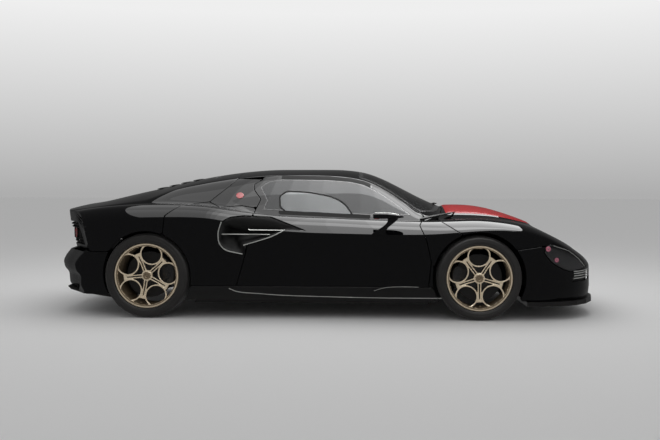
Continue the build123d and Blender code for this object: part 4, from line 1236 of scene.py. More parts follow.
class Finishes(Enum):
    """Every finish on the car."""

    PAINT = Finish("gloss_black_paint", (0.0025, 0.0025, 0.003), 0.35, coat=1.0, coat_roughness=0.02,
                   specular=0.0, dust=0.004, **LACQUER)
    RED_PAINT = Finish("deep_red_paint", (0.56, 0.006, 0.010), 0.42, specular=0.1, coat=0.3,
                       coat_roughness=0.02, **LACQUER)
    CARBON = Finish("satin_carbon_fibre", (0.006, 0.006, 0.0065), 0.38, coat=0.6, coat_roughness=0.16,
                    specular=0.2, dust=0.10, **surface(Effect.WEAVE, 330, Effect.WEAVE, 330, 0.02))
    STRUCTURE = Finish("matt_carbon_structure", (0.017, 0.017, 0.018), 0.6, dust=0.2,
                       **surface(Effect.WEAVE, 200, Effect.WEAVE, 200, 0.02))
    GLASS = Finish("dark_tinted_glass", (0.05, 0.055, 0.06), 0.0, transmission=1.0, ior=1.45)
    CLEAR_GLASS = Finish("lightly_tinted_glass", (0.62, 0.65, 0.66), 0.0, transmission=1.0, ior=1.45)
    SCREEN = Finish("laminated_screen_glass", (0.20, 0.21, 0.22), 0.0, transmission=1.0, ior=1.5)
    FRIT = Finish("black_glass_border", (0.004, 0.004, 0.004), 0.25, coat=1.0, shade=Effect.FLAKE)
    LENS = Finish("smoked_lamp_lens", (0.62, 0.62, 0.63), 0.0, transmission=1.0, ior=1.3)
    TAIL_LENS = Finish("red_lamp_lens", (0.16, 0.002, 0.004), 0.12, coat=1.0, glow=0.1,
                       bump=Effect.GRAIN, bump_scale=160, bump_depth=0.1)
    # Painted reflection: the cups' pink colour and faint glow stand for the pinkish light that they reflect,
    # though they are no lamps.
    RED_REFLECTOR = Finish("painted_pink_reflection", (0.62, 0.20, 0.28), 0.25, metallic=0.3, glow=0.05,
                           bump=Effect.GRAIN, bump_scale=200, bump_depth=0.08)
    CHROME = Finish("bright_reflector", (0.72, 0.72, 0.73), 0.12, metallic=1.0, shade=Effect.BRUSH,
                    shade_scale=400)
    MESH = Finish("black_mesh", (0.006, 0.006, 0.006), 0.45, shade=Effect.GRAIN, dust=0.2)
    BRONZE = Finish("champagne_bronze", (1.0, 0.84, 0.62), 0.24, metallic=0.25, coat=0.8,
                    coat_roughness=0.08, dust=0.05, **surface(Effect.FLAKE, 1500, Effect.PEEL, 60, 0.001))
    # A darker copy of the champagne bronze, as painted shade on the barrel inside the rim, the sunk centre
    # nut and the valve.
    BRONZE_DARK = Finish("bronze_painted_shade", (0.30, 0.23, 0.15), 0.45, metallic=0.4, shade=Effect.FLAKE,
                         shade_scale=1500, dust=0.08)
    RUBBER = Finish("tyre_rubber", (0.024, 0.022, 0.021), 0.55, sheen=0.1, dust=0.10, dust_top=0.16,
                    **surface(Effect.GRAIN, 500, Effect.GRAIN, 700, 0.08))
    DISC = Finish("turned_disc_ceramic", (0.030, 0.030, 0.031), 0.5, metallic=0.3,
                  **surface(Effect.BRUSH, 700, Effect.BRUSH, 700, 0.03))
    CALIPER = Finish("dark_caliper_lacquer", (0.02, 0.02, 0.021), 0.3, coat=0.8, dust=0.12,
                     **surface(Effect.FLAKE, 300, Effect.PEEL, 60, 0.002))
    STEEL = Finish("forged_steel", (0.10, 0.10, 0.105), 0.5, metallic=1.0, dust=0.2,
                   **surface(Effect.GRAIN, 300, Effect.GRAIN, 220, 0.05))
    EXHAUST = Finish("heat_tinted_steel", (0.36, 0.31, 0.28), 0.25, metallic=1.0, shade=Effect.BRUSH,
                     shade_scale=300, dust=0.1)
    # Real soot in the exhaust bores; on the brake disc's core and vanes, between its two faces, it is painted
    # shade.
    SOOT = Finish("sooted_steel_and_painted_shade", (0.012, 0.011, 0.010), 0.85, shade=Effect.GRAIN)
    LEATHER = Finish("black_leather", (0.014, 0.012, 0.012), 0.52, **HIDE)
    RED_LEATHER = Finish("red_leather", (0.20, 0.008, 0.012), 0.5, **HIDE)
    TRIM = Finish("dark_trim", (0.012, 0.012, 0.012), 0.5, dust=0.08,
                  **surface(Effect.GRAIN, 300, Effect.GRAIN, 500, 0.06))
    SEAL = Finish("black_rubber_seal", (0.004, 0.004, 0.004), 0.6, specular=0.2,
                  **surface(Effect.GRAIN, 300, Effect.GRAIN, 400, 0.05))
    SLAT = Finish("satin_graphite", (0.030, 0.030, 0.031), 0.5,
                  **surface(Effect.GRAIN, 300, Effect.GRAIN, 500, 0.05))
    DUCT = Finish("duct_black", (0.004, 0.004, 0.004), 0.7, shade=Effect.GRAIN)
    ALLOY = Finish("cast_alloy", (0.20, 0.20, 0.21), 0.48, metallic=1.0, dust=0.15,
                   **surface(Effect.GRAIN, 300, Effect.GRAIN, 260, 0.12))
    SILVER = Finish("pale_lacquer", (0.62, 0.63, 0.60), 0.3, metallic=0.4, coat=1.0, shade=Effect.FLAKE)
    DIAL = Finish("dial_face", (0.01, 0.012, 0.016), 0.15, coat=1.0, shade=Effect.FLAKE)
    BADGE = Finish("plain_red_disc", (0.55, 0.03, 0.04), 0.3, coat=1.0, shade=Effect.FLAKE)


GLASS_CLOUD = 40.0
DUST_COLOUR = (0.21, 0.19, 0.17)
DUST_ROUGHNESS = 0.5


class Paintshop:
    """Makes each finish's material once and hands it out."""

    def __init__(self, effects: Effects) -> None:
        """Remembers the shared effects."""
        self.effects = effects
        self.made: dict[Finishes, bpy.types.Material] = {}

    def group_node(self, tree: bpy.types.NodeTree, effect: Effect, scale: float) -> bpy.types.Node:
        """Places an effect's group in a material and sets its first number.

        Args:
            tree: the material's nodes.
            effect: the effect.
            scale: its first number.

        Returns:
            The group's node.
        """
        node = tree.nodes.new("ShaderNodeGroup")
        node.node_tree = self.effects.groups[effect]
        node.inputs[0].default_value = scale
        return node

    def material(self, which: Finishes) -> bpy.types.Material:
        """Builds a finish's material, or finds the one made before.

        Args:
            which: the finish.

        Returns:
            Its material.
        """
        if which in self.made:
            return self.made[which]
        finish = which.value
        material = bpy.data.materials.new(finish.name)
        material.use_nodes = True
        tree = material.node_tree
        shader = tree.nodes["Principled BSDF"]
        plain = {
            "Base Color": (*finish.colour, 1.0), "Roughness": finish.roughness,
            "Metallic": finish.metallic, "Coat Weight": finish.coat,
            "Coat Roughness": finish.coat_roughness, "Specular IOR Level": finish.specular,
            "Transmission Weight": finish.transmission, "IOR": finish.ior,
            "Sheen Weight": finish.sheen, "Emission Color": (*finish.colour, 1.0),
            "Emission Strength": finish.glow,
        }
        for name, value in plain.items():
            shader.inputs[name].default_value = value
        if finish.transmission:
            self.shaded(tree, shader, finish, self.group_node(tree, Effect.GRAIN, GLASS_CLOUD))
        else:
            self.coloured(tree, shader, finish)
        if finish.bump is not None:
            bump = tree.nodes.new("ShaderNodeBump")
            bump.inputs["Distance"].default_value = finish.bump_depth * MM
            effect = self.group_node(tree, finish.bump, finish.bump_scale)
            tree.links.new(effect.outputs["Height"], bump.inputs["Height"])
            tree.links.new(bump.outputs["Normal"], shader.inputs["Normal"])
        self.made[which] = material
        return material

    def shaded(self, tree: bpy.types.NodeTree, shader: bpy.types.Node, finish: Finish,
               effect: bpy.types.Node) -> bpy.types.NodeSocket:
        """Multiplies the finish's colour by an effect's shade and feeds the shader with it.

        Args:
            tree: the material's nodes.
            shader: the shader.
            finish: the finish.
            effect: the effect's node.

        Returns:
            The colour.
        """
        scale = tree.nodes.new("ShaderNodeVectorMath")
        scale.operation = "SCALE"
        scale.inputs[0].default_value = finish.colour
        tree.links.new(effect.outputs["Shade"], scale.inputs["Scale"])
        tree.links.new(scale.outputs[0], shader.inputs["Base Color"])
        return scale.outputs[0]

    def coloured(self, tree: bpy.types.NodeTree, shader: bpy.types.Node, finish: Finish) -> None:
        """Gives an opaque finish its varied colour and its film of dust.

        Args:
            tree: the material's nodes.
            shader: the shader.
            finish: the finish.
        """
        colour = None
        if finish.shade is not None:
            effect = self.group_node(tree, finish.shade, finish.shade_scale)
            colour = self.shaded(tree, shader, finish, effect)
        if not finish.dust:
            return
        mask = self.group_node(tree, Effect.DUST, finish.dust)
        mask.inputs["Top"].default_value = finish.dust_top
        mix = tree.nodes.new("ShaderNodeMix")
        mix.data_type = "RGBA"
        tree.links.new(mask.outputs["Mask"], mix.inputs["Factor"])
        if colour is None:
            mix.inputs["A"].default_value = (*finish.colour, 1.0)
        else:
            tree.links.new(colour, mix.inputs["A"])
        mix.inputs["B"].default_value = (*DUST_COLOUR, 1.0)
        tree.links.new(mix.outputs["Result"], shader.inputs["Base Color"])
        rough = tree.nodes.new("ShaderNodeMath")
        rough.operation = "MULTIPLY_ADD"
        tree.links.new(mask.outputs["Mask"], rough.inputs[0])
        rough.inputs[1].default_value = DUST_ROUGHNESS
        rough.inputs[2].default_value = finish.roughness
        tree.links.new(rough.outputs[0], shader.inputs["Roughness"])


SHARP_ANGLE = 32.0




# ---- Shapes for the smaller pieces ----
MIRROR = Matrix.Scale(-1, 4, (0, 1, 0))


def round_turn(count: int) -> np.ndarray:
    """Angles evenly round a full turn."""
    return np.linspace(0, 2 * math.pi, count, endpoint=False)


def oval(count: int, first: Sequence[float], second: Sequence[float]) -> np.ndarray:
    """A ring of points about the origin, given by its two half axes."""
    turn = round_turn(count)[:, None]
    return np.cos(turn) * np.array(first, float) + np.sin(turn) * np.array(second, float)


def triangles(quads: np.ndarray) -> np.ndarray:
    """Quads cut in two."""
    return np.concatenate([quads[:, [0, 1, 2]], quads[:, [0, 2, 3]]])


def lathe(profile: Outline, segments: int = 96, closed: bool = True) -> Solid:
    """A solid turned about the Y axis.

    Args:
        profile: the outline (radius, y).
        segments: how many steps round.
        closed: whether the outline closes on itself; otherwise its ends lie on the axis.

    Returns:
        The solid about the origin.
    """
    line = np.array(profile, float)
    angle = round_turn(segments)
    count = len(line)
    points = np.stack([
        line[None, :, 0] * np.cos(angle)[:, None],
        np.broadcast_to(line[None, :, 1], (segments, count)),
        line[None, :, 0] * np.sin(angle)[:, None],
    ], 2).reshape(-1, 3)
    i, j = np.meshgrid(np.arange(segments), np.arange(count if closed else count - 1), indexing="ij")
    a = i * count + j
    b = i * count + (j + 1) % count
    c = ((i + 1) % segments) * count + (j + 1) % count
    d = ((i + 1) % segments) * count + j
    quads = np.stack([a, b, c, d], 2).reshape(-1, 4)
    faces = triangles(quads)
    p = points[faces]
    area = np.linalg.norm(np.cross(p[:, 1] - p[:, 0], p[:, 2] - p[:, 0]), axis=1)
    return outward(Solid(points, faces[area > 1e-9]))


def loft(rings: np.ndarray, caps: bool = True) -> Solid:
    """A solid through rings of points, with flat ends.

    Args:
        rings: an array of rings, each with the same number of points.
        caps: whether the ends are closed.

    Returns:
        The solid.
    """
    rows, columns = rings.shape[:2]
    points = rings.reshape(-1, 3)
    i, j = np.meshgrid(np.arange(rows - 1), np.arange(columns), indexing="ij")
    a, b = i * columns + j, i * columns + (j + 1) % columns
    quads = np.stack([a, b, b + columns, a + columns], 2).reshape(-1, 4)
    faces = [triangles(quads)]
    if caps:
        ends = np.stack([rings[0].mean(0), rings[-1].mean(0)])
        points = np.concatenate([points, ends])
        first, last = rows * columns, rows * columns + 1
        ring = np.arange(columns)
        after = (ring + 1) % columns
        base = (rows - 1) * columns
        faces.append(np.stack([after, ring, np.full(columns, first)], 1))
        faces.append(np.stack([base + ring, base + after, np.full(columns, last)], 1))
    return outward(Solid(points, np.concatenate(faces)))


def outward(solid: Solid) -> Solid:
    """Turns a solid's faces outward.

    Args:
        solid: the closed solid.

    Returns:
        The same solid.
    """
    a, b, c = (solid.points[solid.faces[:, k]] for k in range(3))
    volume = np.einsum("ij,ij->i", a, np.cross(b, c)).sum()
    if volume < 0:
        solid.faces = solid.faces[:, ::-1]
    return solid


def tube(path: Sequence[Sequence[float]], radius: float | np.ndarray, sides: int = 10,
         looped: bool = False) -> Solid:
    """A round rod along a path.

    Args:
        path: the path's points.
        radius: the rod's radius, or one for each point.
        sides: how many sides the rod has.
        looped: whether the path closes on itself.

    Returns:
        The rod.
    """
    path = np.asarray(path, float)
    ahead = np.roll(path, -1, 0) - np.roll(path, 1, 0) if looped else np.gradient(path, axis=0)
    ahead /= np.linalg.norm(ahead, axis=1, keepdims=True)
    up = np.array([0.0, 0.0, 1.0])
    if np.abs(ahead @ up).max() > 0.95:
        up = np.array([0.0, 1.0, 0.0])
    if np.abs(ahead @ up).max() > 0.95:
        up = np.array([0.577, 0.577, 0.577])
    u = np.cross(ahead, up)
    u /= np.linalg.norm(u, axis=1, keepdims=True)
    v = np.cross(ahead, u)
    turn = round_turn(sides)
    size = np.broadcast_to(np.asarray(radius, float), (len(path),))[:, None, None]
    rings = path[:, None] + size * (np.cos(turn)[None, :, None] * u[:, None]
                                    + np.sin(turn)[None, :, None] * v[:, None])
    if looped:
        return loft(np.concatenate([rings, rings[:1]]), caps=False)
    return loft(rings)


def block(low: Sequence[float], high: Sequence[float], bevel: float = 3.0) -> Solid:
    """A box with rounded edges.

    Args:
        low: its lowest corner.
        high: its highest corner.
        bevel: the edges' radius.

    Returns:
        The box.
    """
    low, high = np.array(low, float), np.array(high, float)
    middle, half = (low + high) / 2, (high - low) / 2
    bevel = min(bevel, half.min() * 0.98)
    ring = []
    for k in range(4):
        for step in range(4):
            angle = math.radians(90 * k + 30 * step)
            sx = 1 if k in (0, 3) else -1
            sy = 1 if k in (0, 1) else -1
            ring.append((sx * (half[0] - bevel), sy * (half[1] - bevel), math.cos(angle), math.sin(angle)))
    ring = np.array(ring)
    rings = []
    for tilt, base in ((-90, -1), (-60, -1), (-30, -1), (0, -1), (0, 1), (30, 1), (60, 1), (90, 1)):
        reach = bevel * math.cos(math.radians(tilt))
        z = base * (half[2] - bevel) + bevel * math.sin(math.radians(tilt))
        rings.append(np.stack([ring[:, 0] + reach * ring[:, 2], ring[:, 1] + reach * ring[:, 3],
                               np.full(len(ring), z)], 1))
    solid = loft(np.array(rings))
    solid.points += middle
    return solid


def softened_path(path: Sequence[Sequence[float]], rounds: int = 3) -> np.ndarray:
    """Cuts the corners of an open path in space, keeping both ends.

    Args:
        path: its points.
        rounds: how often each corner is cut.

    Returns:
        The softer path.
    """
    path = np.array(path, float)
    for _ in range(rounds):
        inner = np.stack([0.75 * path[:-1] + 0.25 * path[1:], 0.25 * path[:-1] + 0.75 * path[1:]], 1)
        path = np.concatenate([path[:1], inner.reshape(-1, 3), path[-1:]])
    return path


def spun(degrees: float) -> Matrix:
    """A turn about the Y axis."""
    return Matrix.Rotation(math.radians(degrees), 4, "Y")


def placed_axes(x: Vector, y: Vector, z: Vector, origin: Sequence[float]) -> Matrix:
    """Carries a solid to axes of its own."""
    return Matrix([*((x[k], y[k], z[k], origin[k]) for k in range(3)), (0, 0, 0, 1)])


def facing(place: Sequence[float], direction: Vector) -> Matrix:
    """Carries a solid turned about Y to a place, with its Y along a direction."""
    return Matrix.Translation(Vector(place)) @ direction.to_track_quat("Y", "Z").to_matrix().to_4x4()


def painted(solid: Solid, finish: int) -> Solid:
    """A solid with one finish number on every face."""
    solid.finish = np.full(len(solid.faces), finish)
    return solid


def by_finish(*groups: Sequence[Solid]) -> Solid:
    """Joins solids, those of the first group in a piece's first finish, and so on."""
    return joined([painted(solid, k) for k, group in enumerate(groups) for solid in group])


# ---- The body ----
ROOF_PLAN_WHOLE = mirrored(ROOF_PLAN)


@dataclass
class Assembly:
    """A sub-assembly of the car, with the form that it follows and the finishes that it takes."""

    form: Envelope
    paint: Paintshop

    def build(self) -> None:
        """Makes the sub-assembly's pieces."""
        raise NotImplementedError

    def piece(self, name: str, solid: Solid, finishes: Sequence[Finishes], body: str,
              replaces: Sequence[str] = (), slot: str | None = None,
              origin: Vector | None = None) -> bpy.types.Object:
        """Makes a piece of the car from a solid.

        Args:
            name: the piece's name.
            solid: its mesh, in millimetres.
            finishes: the finishes that the solid's faces number.
            body: the CAD body that it rides on.
            replaces: the CAD nodes that it stands for.
            slot: not used.
            origin: where the piece's own origin lies, in millimetres.

        Returns:
            The new object.
        """
        if name in frame["nodes"]:
            name += "_finished"
        shift = np.zeros(3) if origin is None else np.array(origin)
        thing = bpy.data.objects.new(name, self.mesh(name, solid, shift, finishes))
        bpy.context.scene.collection.objects.link(thing)
        thing.location = Vector(shift) * MM
        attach(thing, body)
        if replaces:
            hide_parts(*replaces)
        LOG.info("%s: %d faces", name, len(solid.faces))
        return thing

    def mesh(self, name: str, solid: Solid, shift: np.ndarray,
             finishes: Sequence[Finishes]) -> bpy.types.Mesh:
        """Turns a solid into a mesh in metres.

        Args:
            name: the mesh's name.
            solid: its points, faces, normals and finish numbers.
            shift: the mesh's origin, in millimetres.
            finishes: the finishes that the faces number.

        Returns:
            The mesh.
        """
        mesh = bpy.data.meshes.new(name)
        points = ((solid.points - shift) * MM).astype(np.float32)
        faces = solid.faces.astype(np.int32)
        width = faces.shape[1]
        mesh.vertices.add(len(points))
        mesh.vertices.foreach_set("co", points.ravel())
        mesh.loops.add(faces.size)
        mesh.loops.foreach_set("vertex_index", faces.ravel())
        mesh.polygons.add(len(faces))
        mesh.polygons.foreach_set("loop_start", np.arange(0, faces.size, width, dtype=np.int32))
        if solid.finish is not None:
            mesh.polygons.foreach_set("material_index", solid.finish.astype(np.int32))
        mesh.update(calc_edges=True)
        if mesh.validate():
            LOG.warning("%s had faces to mend", name)
        for which in finishes:
            mesh.materials.append(self.paint.material(which))
        mesh.shade_smooth()
        if solid.normals is None:
            mesh.set_sharp_from_angle(angle=math.radians(SHARP_ANGLE))
        else:
            mesh.normals_split_custom_set(solid.normals.tolist())
        return mesh

    def dress(self, node: str, *finishes: Finishes) -> None:
        """Gives a CAD node that stays its finish.

        Args:
            node: the node's name.
            finishes: its finishes, in the order of its faces' slots.
        """
        mesh = frame["nodes"][node].data
        mesh.materials.clear()
        for which in finishes:
            mesh.materials.append(self.paint.material(which))


def lowest(*fields: np.ndarray) -> np.ndarray:
    """The field of everything that all the fields hold."""
    return np.minimum.reduce(fields)


def both_sides(solid: Solid) -> Solid:
    """A right-hand solid and its mirror image."""
    return joined([solid, solid.moved(MIRROR)])


def on_surface(sheet: Sheet, x: np.ndarray, y: np.ndarray) -> np.ndarray:
    """Finds the sheet's height over places in plan, from its nearest points.

    Args:
        sheet: the surface.
        x: the places along the car.
        y: the places across.

    Returns:
        One height for each place.
    """
    points = sheet.points.reshape(-1, 3)
    heights = []
    for px, py in zip(x, y):
        away = np.hypot(points[:, 0] - px, points[:, 1] - py)
        near = np.argsort(away)[:4]
        weights = 1 / (away[near] + 0.1)
        heights.append((points[near, 2] * weights).sum() / weights.sum())
    return np.array(heights)


def surface_place(sheet: Sheet, x: float, z: float, side: Side) -> tuple[Vector, Vector]:
    """Finds a place on a sheet in side view, from its nearest points.

    Args:
        sheet: the surface.
        x: the place along the car.
        z: the place up.
        side: the car's side.

    Returns:
        The point there and its normal.
    """
    points = sheet.points.reshape(-1, 3)
    away = np.hypot(points[:, 0] - x, points[:, 2] - z) + np.where(points[:, 1] * side.value > 60, 0, 1e6)
    near = np.argsort(away)[:4]
    weights = (1 / (away[near] + 0.2))[:, None]
    place = (points[near] * weights).sum(0) / weights.sum()
    normal = (sheet.normals.reshape(-1, 3)[near] * weights).sum(0)
    return Vector(place), Vector(normal).normalized()


def laid(find: Callable[[float, float, Side], tuple[Vector, Vector]], line: Outline, lift: float,
         side: Side) -> np.ndarray:
    """Lays a line drawn in side view on the body.

    Args:
        find: gives the body's point and normal at a place in side view.
        line: the line (x, z).
        lift: how far the path stands off the body.
        side: the car's side.

    Returns:
        The path over the body.
    """
    found = [find(x, z, side) for x, z in line]
    return np.array([place + normal * lift for place, normal in found])


@dataclass
class Clamshell(Assembly):
    """The front clamshell with its raised red stripe, the roof and the windscreen."""

    thickness: float = 14.0
    glass_thickness: float = 5.0
    stripe_height: float = 16.0
    stripe_ramp: float = 62.0
    stripe_floor: float = 600.0
    border: float = 34.0
    blade_lift: float = 13.0
    arm_lift: float = 17.0

    def build(self) -> None:
        """Makes the clamshell, roof, windscreen, badge and wiper."""
        self.lid()
        self.roof()
        self.screen()
        self.wiper()
        self.badge()

    def lid(self) -> None:
        """The bonnet and front wings in one clamshell."""
        sheet = self.form.lower
        stripe = mirrored(STRIPE)
        x, y = sheet.points[..., 0], sheet.points[..., 1]
        above = sheet.points[..., 2] > self.stripe_floor
        v = np.where(above, inside(stripe, x, y), -400.0)
        raised = sheet.raised(self.stripe_height * smoothstep(v / self.stripe_ramp + 0.5))
        edge = ((968, HIGH),) + WING_LINE + BONNET_EDGE + (NOSE_EDGE, (FAR, HIGH))
        field_ = lowest(region(raised, edge, View.SIDE), outside(raised, ROOF_PLAN_WHOLE, View.PLAN),
                        arch_field(raised))
        lid = panel(raised, [field_, v], self.thickness)
        self.piece("front_lid", lid, (Finishes.PAINT, Finishes.RED_PAINT), "front_lid", ["front_lid"],
                   "body_paint")

    def roof(self) -> None:
        """The roof and its screen pillars."""
        sheet = self.form.upper
        foot = ((1060, 872), (1000, 850), (968, 790), (846, 790), (846, 833))
        rail = foot + DOOR_RAIL + ROOF_REAR + ((1080, HIGH),)
        field_ = lowest(region(sheet, rail, View.SIDE), region(sheet, ROOF_PLAN_WHOLE, View.PLAN, 0),
                        outside(sheet, mirrored(SCREEN), View.PLAN, GLASS_GAP))
        self.piece("roof", panel(sheet, [field_], self.thickness), (Finishes.PAINT,), "body", ["roof"],
                   "body_paint")

    def screen(self) -> None:
        """The windscreen with its black border."""
        sheet = self.form.upper
        field_ = region(sheet, mirrored(SCREEN), View.PLAN, GLASS_GAP)
        glass = panel(sheet, [field_, field_ - self.border], self.glass_thickness, 1.5)
        self.piece("windscreen", glass, (Finishes.FRIT, Finishes.SCREEN), "body", ["windscreen"],
                   "screen_glass")

    def wiper(self) -> None:
        """The parked wiper: an arm, a blade and its rubber."""
        sheet = self.form.upper
        y = np.linspace(-150, 360, 40)
        x = 985 - 0.00055 * (y - 60) ** 2
        line = np.stack([x, y, on_surface(sheet, x, y) + self.blade_lift], 1)
        rubber = tube(line - [0, 0, 7], 2.6, 6)
        arm_y = np.linspace(20, 330, 24)
        arm_x = 1002 - 0.0004 * (arm_y - 40) ** 2
        arm = np.stack([arm_x, arm_y, on_surface(sheet, arm_x, arm_y) + self.arm_lift], 1)
        hub = lathe(((0, -9), (15, -9), (17, -5), (17, 9), (12, 14), (0, 15)), 32, False)
        hub = hub.moved(facing(arm[-1], Vector((0.25, 0, 1))))
        solid = joined([tube(line, 5.0, 8), self.cowl_blades(), rubber,
                        tube(arm, np.linspace(4.5, 8.5, 24), 8), hub])
        self.piece("wiper", solid, (Finishes.TRIM,), "body")

    def cowl_blades(self) -> Solid:
        """The tapered black blade at each end of the cowl.

        Returns:
            Both blades.
        """
        # Each row holds a section's x, y and z, its half width and its half height.
        table = ((812, -700, 804, 26, 9), (860, -676, 812, 34, 12), (930, -630, 823, 32, 12),
                 (1000, -570, 834, 25, 10), (1070, -505, 845, 15, 7), (1130, -445, 855, 4, 2))
        rings = [oval(20, (0, wide, 0), (0, 0, tall)) + (x, y, z + 3) for x, y, z, wide, tall in table]
        return both_sides(loft(np.array(rings)))

    def badge(self) -> None:
        """The plain round badge behind each side window."""
        parts = []
        for side in Side:
            place, normal = self.pillar_place(side)
            r = BADGE_RADIUS
            disc = lathe(((0, -2), (r, -2), (r, 1), (r - 2, 3), (r - 6, 3.4), (r - 7, 2.4), (0, 2.9)),
                         64, False)
            parts.append(disc.moved(facing(place, normal)))
        self.piece("pillar_badges", joined(parts), (Finishes.BADGE,), "body")

    def pillar_place(self, side: Side) -> tuple[Vector, Vector]:
        """Where the badge sits on the pillar's surface, and which way it faces.

        Args:
            side: the car's side.

        Returns:
            The place and the surface's normal there.
        """
        sheet = self.form.whole
        away = np.hypot(sheet.points[..., 0] - BADGE[0], sheet.points[..., 2] - BADGE[1])
        away = np.where(sheet.points[..., 1] * side.value > 200, away, 1e6)
        row, column = np.unravel_index(np.argmin(away), away.shape)
        return Vector(sheet.points[row, column]), Vector(sheet.normals[row, column])


@dataclass
class Nose(Assembly):
    """The front bumper, its meshes, the headlamps and the splitter."""

    thickness: float = 14.0
    face_start: float = 2000.0
    mesh_depth: float = 26.0
    lamp_depth: float = 34.0
    mesh_lap: float = 16.0
    bar_heights: tuple[float, ...] = (330.0, 350.0, 370.0, 387.0)
    bar_radius: float = 4.6
    bar_sink: float = 3.0
    bottom: float = 150.0
    # Each reflector's x, z and radius.
    reflectors: tuple[tuple[float, float, float], ...] = ((1826, 580, 21.0), (1898, 487, 18.0))
    # The line of a pale tube laid on the lens's top edge as a painted highlight.
    strip: Outline = ((1868, 601), (1940, 582), (2003, 559), (2072, 512), (2128, 467), (2172, 422))

    def build(self) -> None:
        """Makes the bumper, meshes and lamps, and gives the splitter its carbon weave."""
        self.bumper()
        self.grille()
        self.lamps()
        self.dress("splitter", Finishes.CARBON)
        self.fenders()

    def opening(self, gap: float = 0.0) -> np.ndarray:
        """The distance inside the grille or a corner intake.

        Args:
            gap: how much narrower the opening is taken.

        Returns:
            The distance over the nose's sheet.
        """
        sheet = self.form.lower
        x, y = sheet.points[..., 0], np.abs(sheet.points[..., 1])
        middle = np.where(x > self.face_start, region(sheet, GRILLE, View.END, gap), -500.0)
        corner = np.minimum(region(sheet, CORNER_INTAKE, View.SIDE, gap), y - CORNER_INTAKE_INNER - gap / 2)
        return np.maximum(middle, corner)

    def bumper(self) -> None:
        """The bumper skin with its openings."""
        sheet = self.form.lower
        edge = BONNET_EDGE[:2] + LAMP_FOOT[::-1] + (BONNET_EDGE[-1], NOSE_EDGE)
        back = ((FAR, self.bottom), (1276, self.bottom), (1276, 500), (1400, 560))
        field_ = lowest(region(sheet, edge + back, View.SIDE), -self.opening(), arch_field(sheet))
        self.piece("front_bumper", panel(sheet, [field_], self.thickness), (Finishes.PAINT,), "body",
                   ["front_bumper"], "body_paint")

    def grille(self) -> None:
        """Mesh behind the openings, with bright bars in the corner intakes."""
        deep = self.form.lower.sunk(self.mesh_depth)
        solid = panel(deep, [self.opening(-self.mesh_lap)], 5.0, 1.0)
        self.piece("grille_mesh", solid, (Finishes.MESH,), "body", ["front_grille"], "mesh")
        bars = [self.bar(height, side) for height in self.bar_heights for side in Side]
        self.piece("intake_bars", joined(bars), (Finishes.SILVER,), "body")

    def bar(self, height: float, side: Side) -> Solid:
        """One level bar that follows the nose across a corner intake.

        Args:
            height: the bar's height.
            side: the car's side.

        Returns:
            The bar.
        """
        first, last, flank_top = 2052, 2300, 640
        rows = []
        for line in self.form.lower.points:
            half = line[line[:, 1] * side.value > 1]
            if len(half) == 0 or not first < half[0, 0] < last:
                continue
            order = half[np.argsort(half[:, 2])]
            low = order[order[:, 2] < flank_top]
            y = np.interp(height, low[:, 2], np.abs(low[:, 1]))
            if y > CORNER_INTAKE_INNER - 6:
                rows.append((half[0, 0] - self.bar_sink, side.value * (y - 1), height))
        return tube(np.array(rows), self.bar_radius, 8)

    def lamps(self) -> None:
        """The headlamps: lens, dark housing, reflector cups whose pink colour and faint glow are a painted
        reflection, and a pale tube that paints the highlight along the lens's top edge.
        """
        sheet = self.form.lower
        outline = BONNET_EDGE[1:] + LAMP_FOOT
        edge = np.minimum(region(sheet, outline, View.SIDE), np.abs(sheet.points[..., 1]) - 100)
        lens = panel(sheet, [edge, edge - 5.0], 4.0, 2.0)
        self.piece("headlamp_lenses", lens, (Finishes.FRIT, Finishes.LENS), "body", ["headlamps"],
                   "lamp_lens")
        deep = sheet.sunk(self.lamp_depth)
        self.piece("headlamp_housings", panel(deep, [edge + 3.0], 6.0, 2.0), (Finishes.DUCT,), "body")
        find = partial(surface_place, sheet)
        cups, bulbs, highlight_tubes = [], [], []
        for side in Side:
            for x, z, r in self.reflectors:
                place, normal = find(x, z, side)
                turn = facing(place + normal * 0.4, normal)
                # The cups carry the painted pink reflection and glow.
                cups.append(lathe(((0, -6), (r, -6), (r, 1.2), (r - 2, 2.4), (r - 4, 1.2), (r * 0.5, 0.5),
                                   (0, 0.5)), 32, False).moved(turn))
                bulbs.append(lathe(((0, -2), (6, -2), (6, 1.8), (4, 3.0), (0, 3.2)), 20, False).moved(turn))
            # A pale tube on each side paints the highlight along the lens's top edge; it is no lamp.
            highlight_tubes.append(tube(laid(find, softened(self.strip), 0.5, side), 2.0, 8))
        self.piece("headlamp_reflectors", by_finish(cups, bulbs),
                   (Finishes.RED_REFLECTOR, Finishes.CHROME), "body")
        self.piece("headlamp_painted_highlights", joined(highlight_tubes), (Finishes.SILVER,), "body")

    def fenders(self) -> None:
        """The strips between the doors and the clamshell."""
        sheet = self.form.lower
        edge = DOOR_FRONT + ((950, 835), (968, 840)) + WING_LINE + ((1276, SKIRT_TOP),)
        field_ = lowest(region(sheet, edge, View.SIDE), arch_field(sheet))
        self.piece("front_fenders", panel(sheet, [field_], self.thickness), (Finishes.PAINT,), "body",
                   ["front_fenders"], "body_paint")


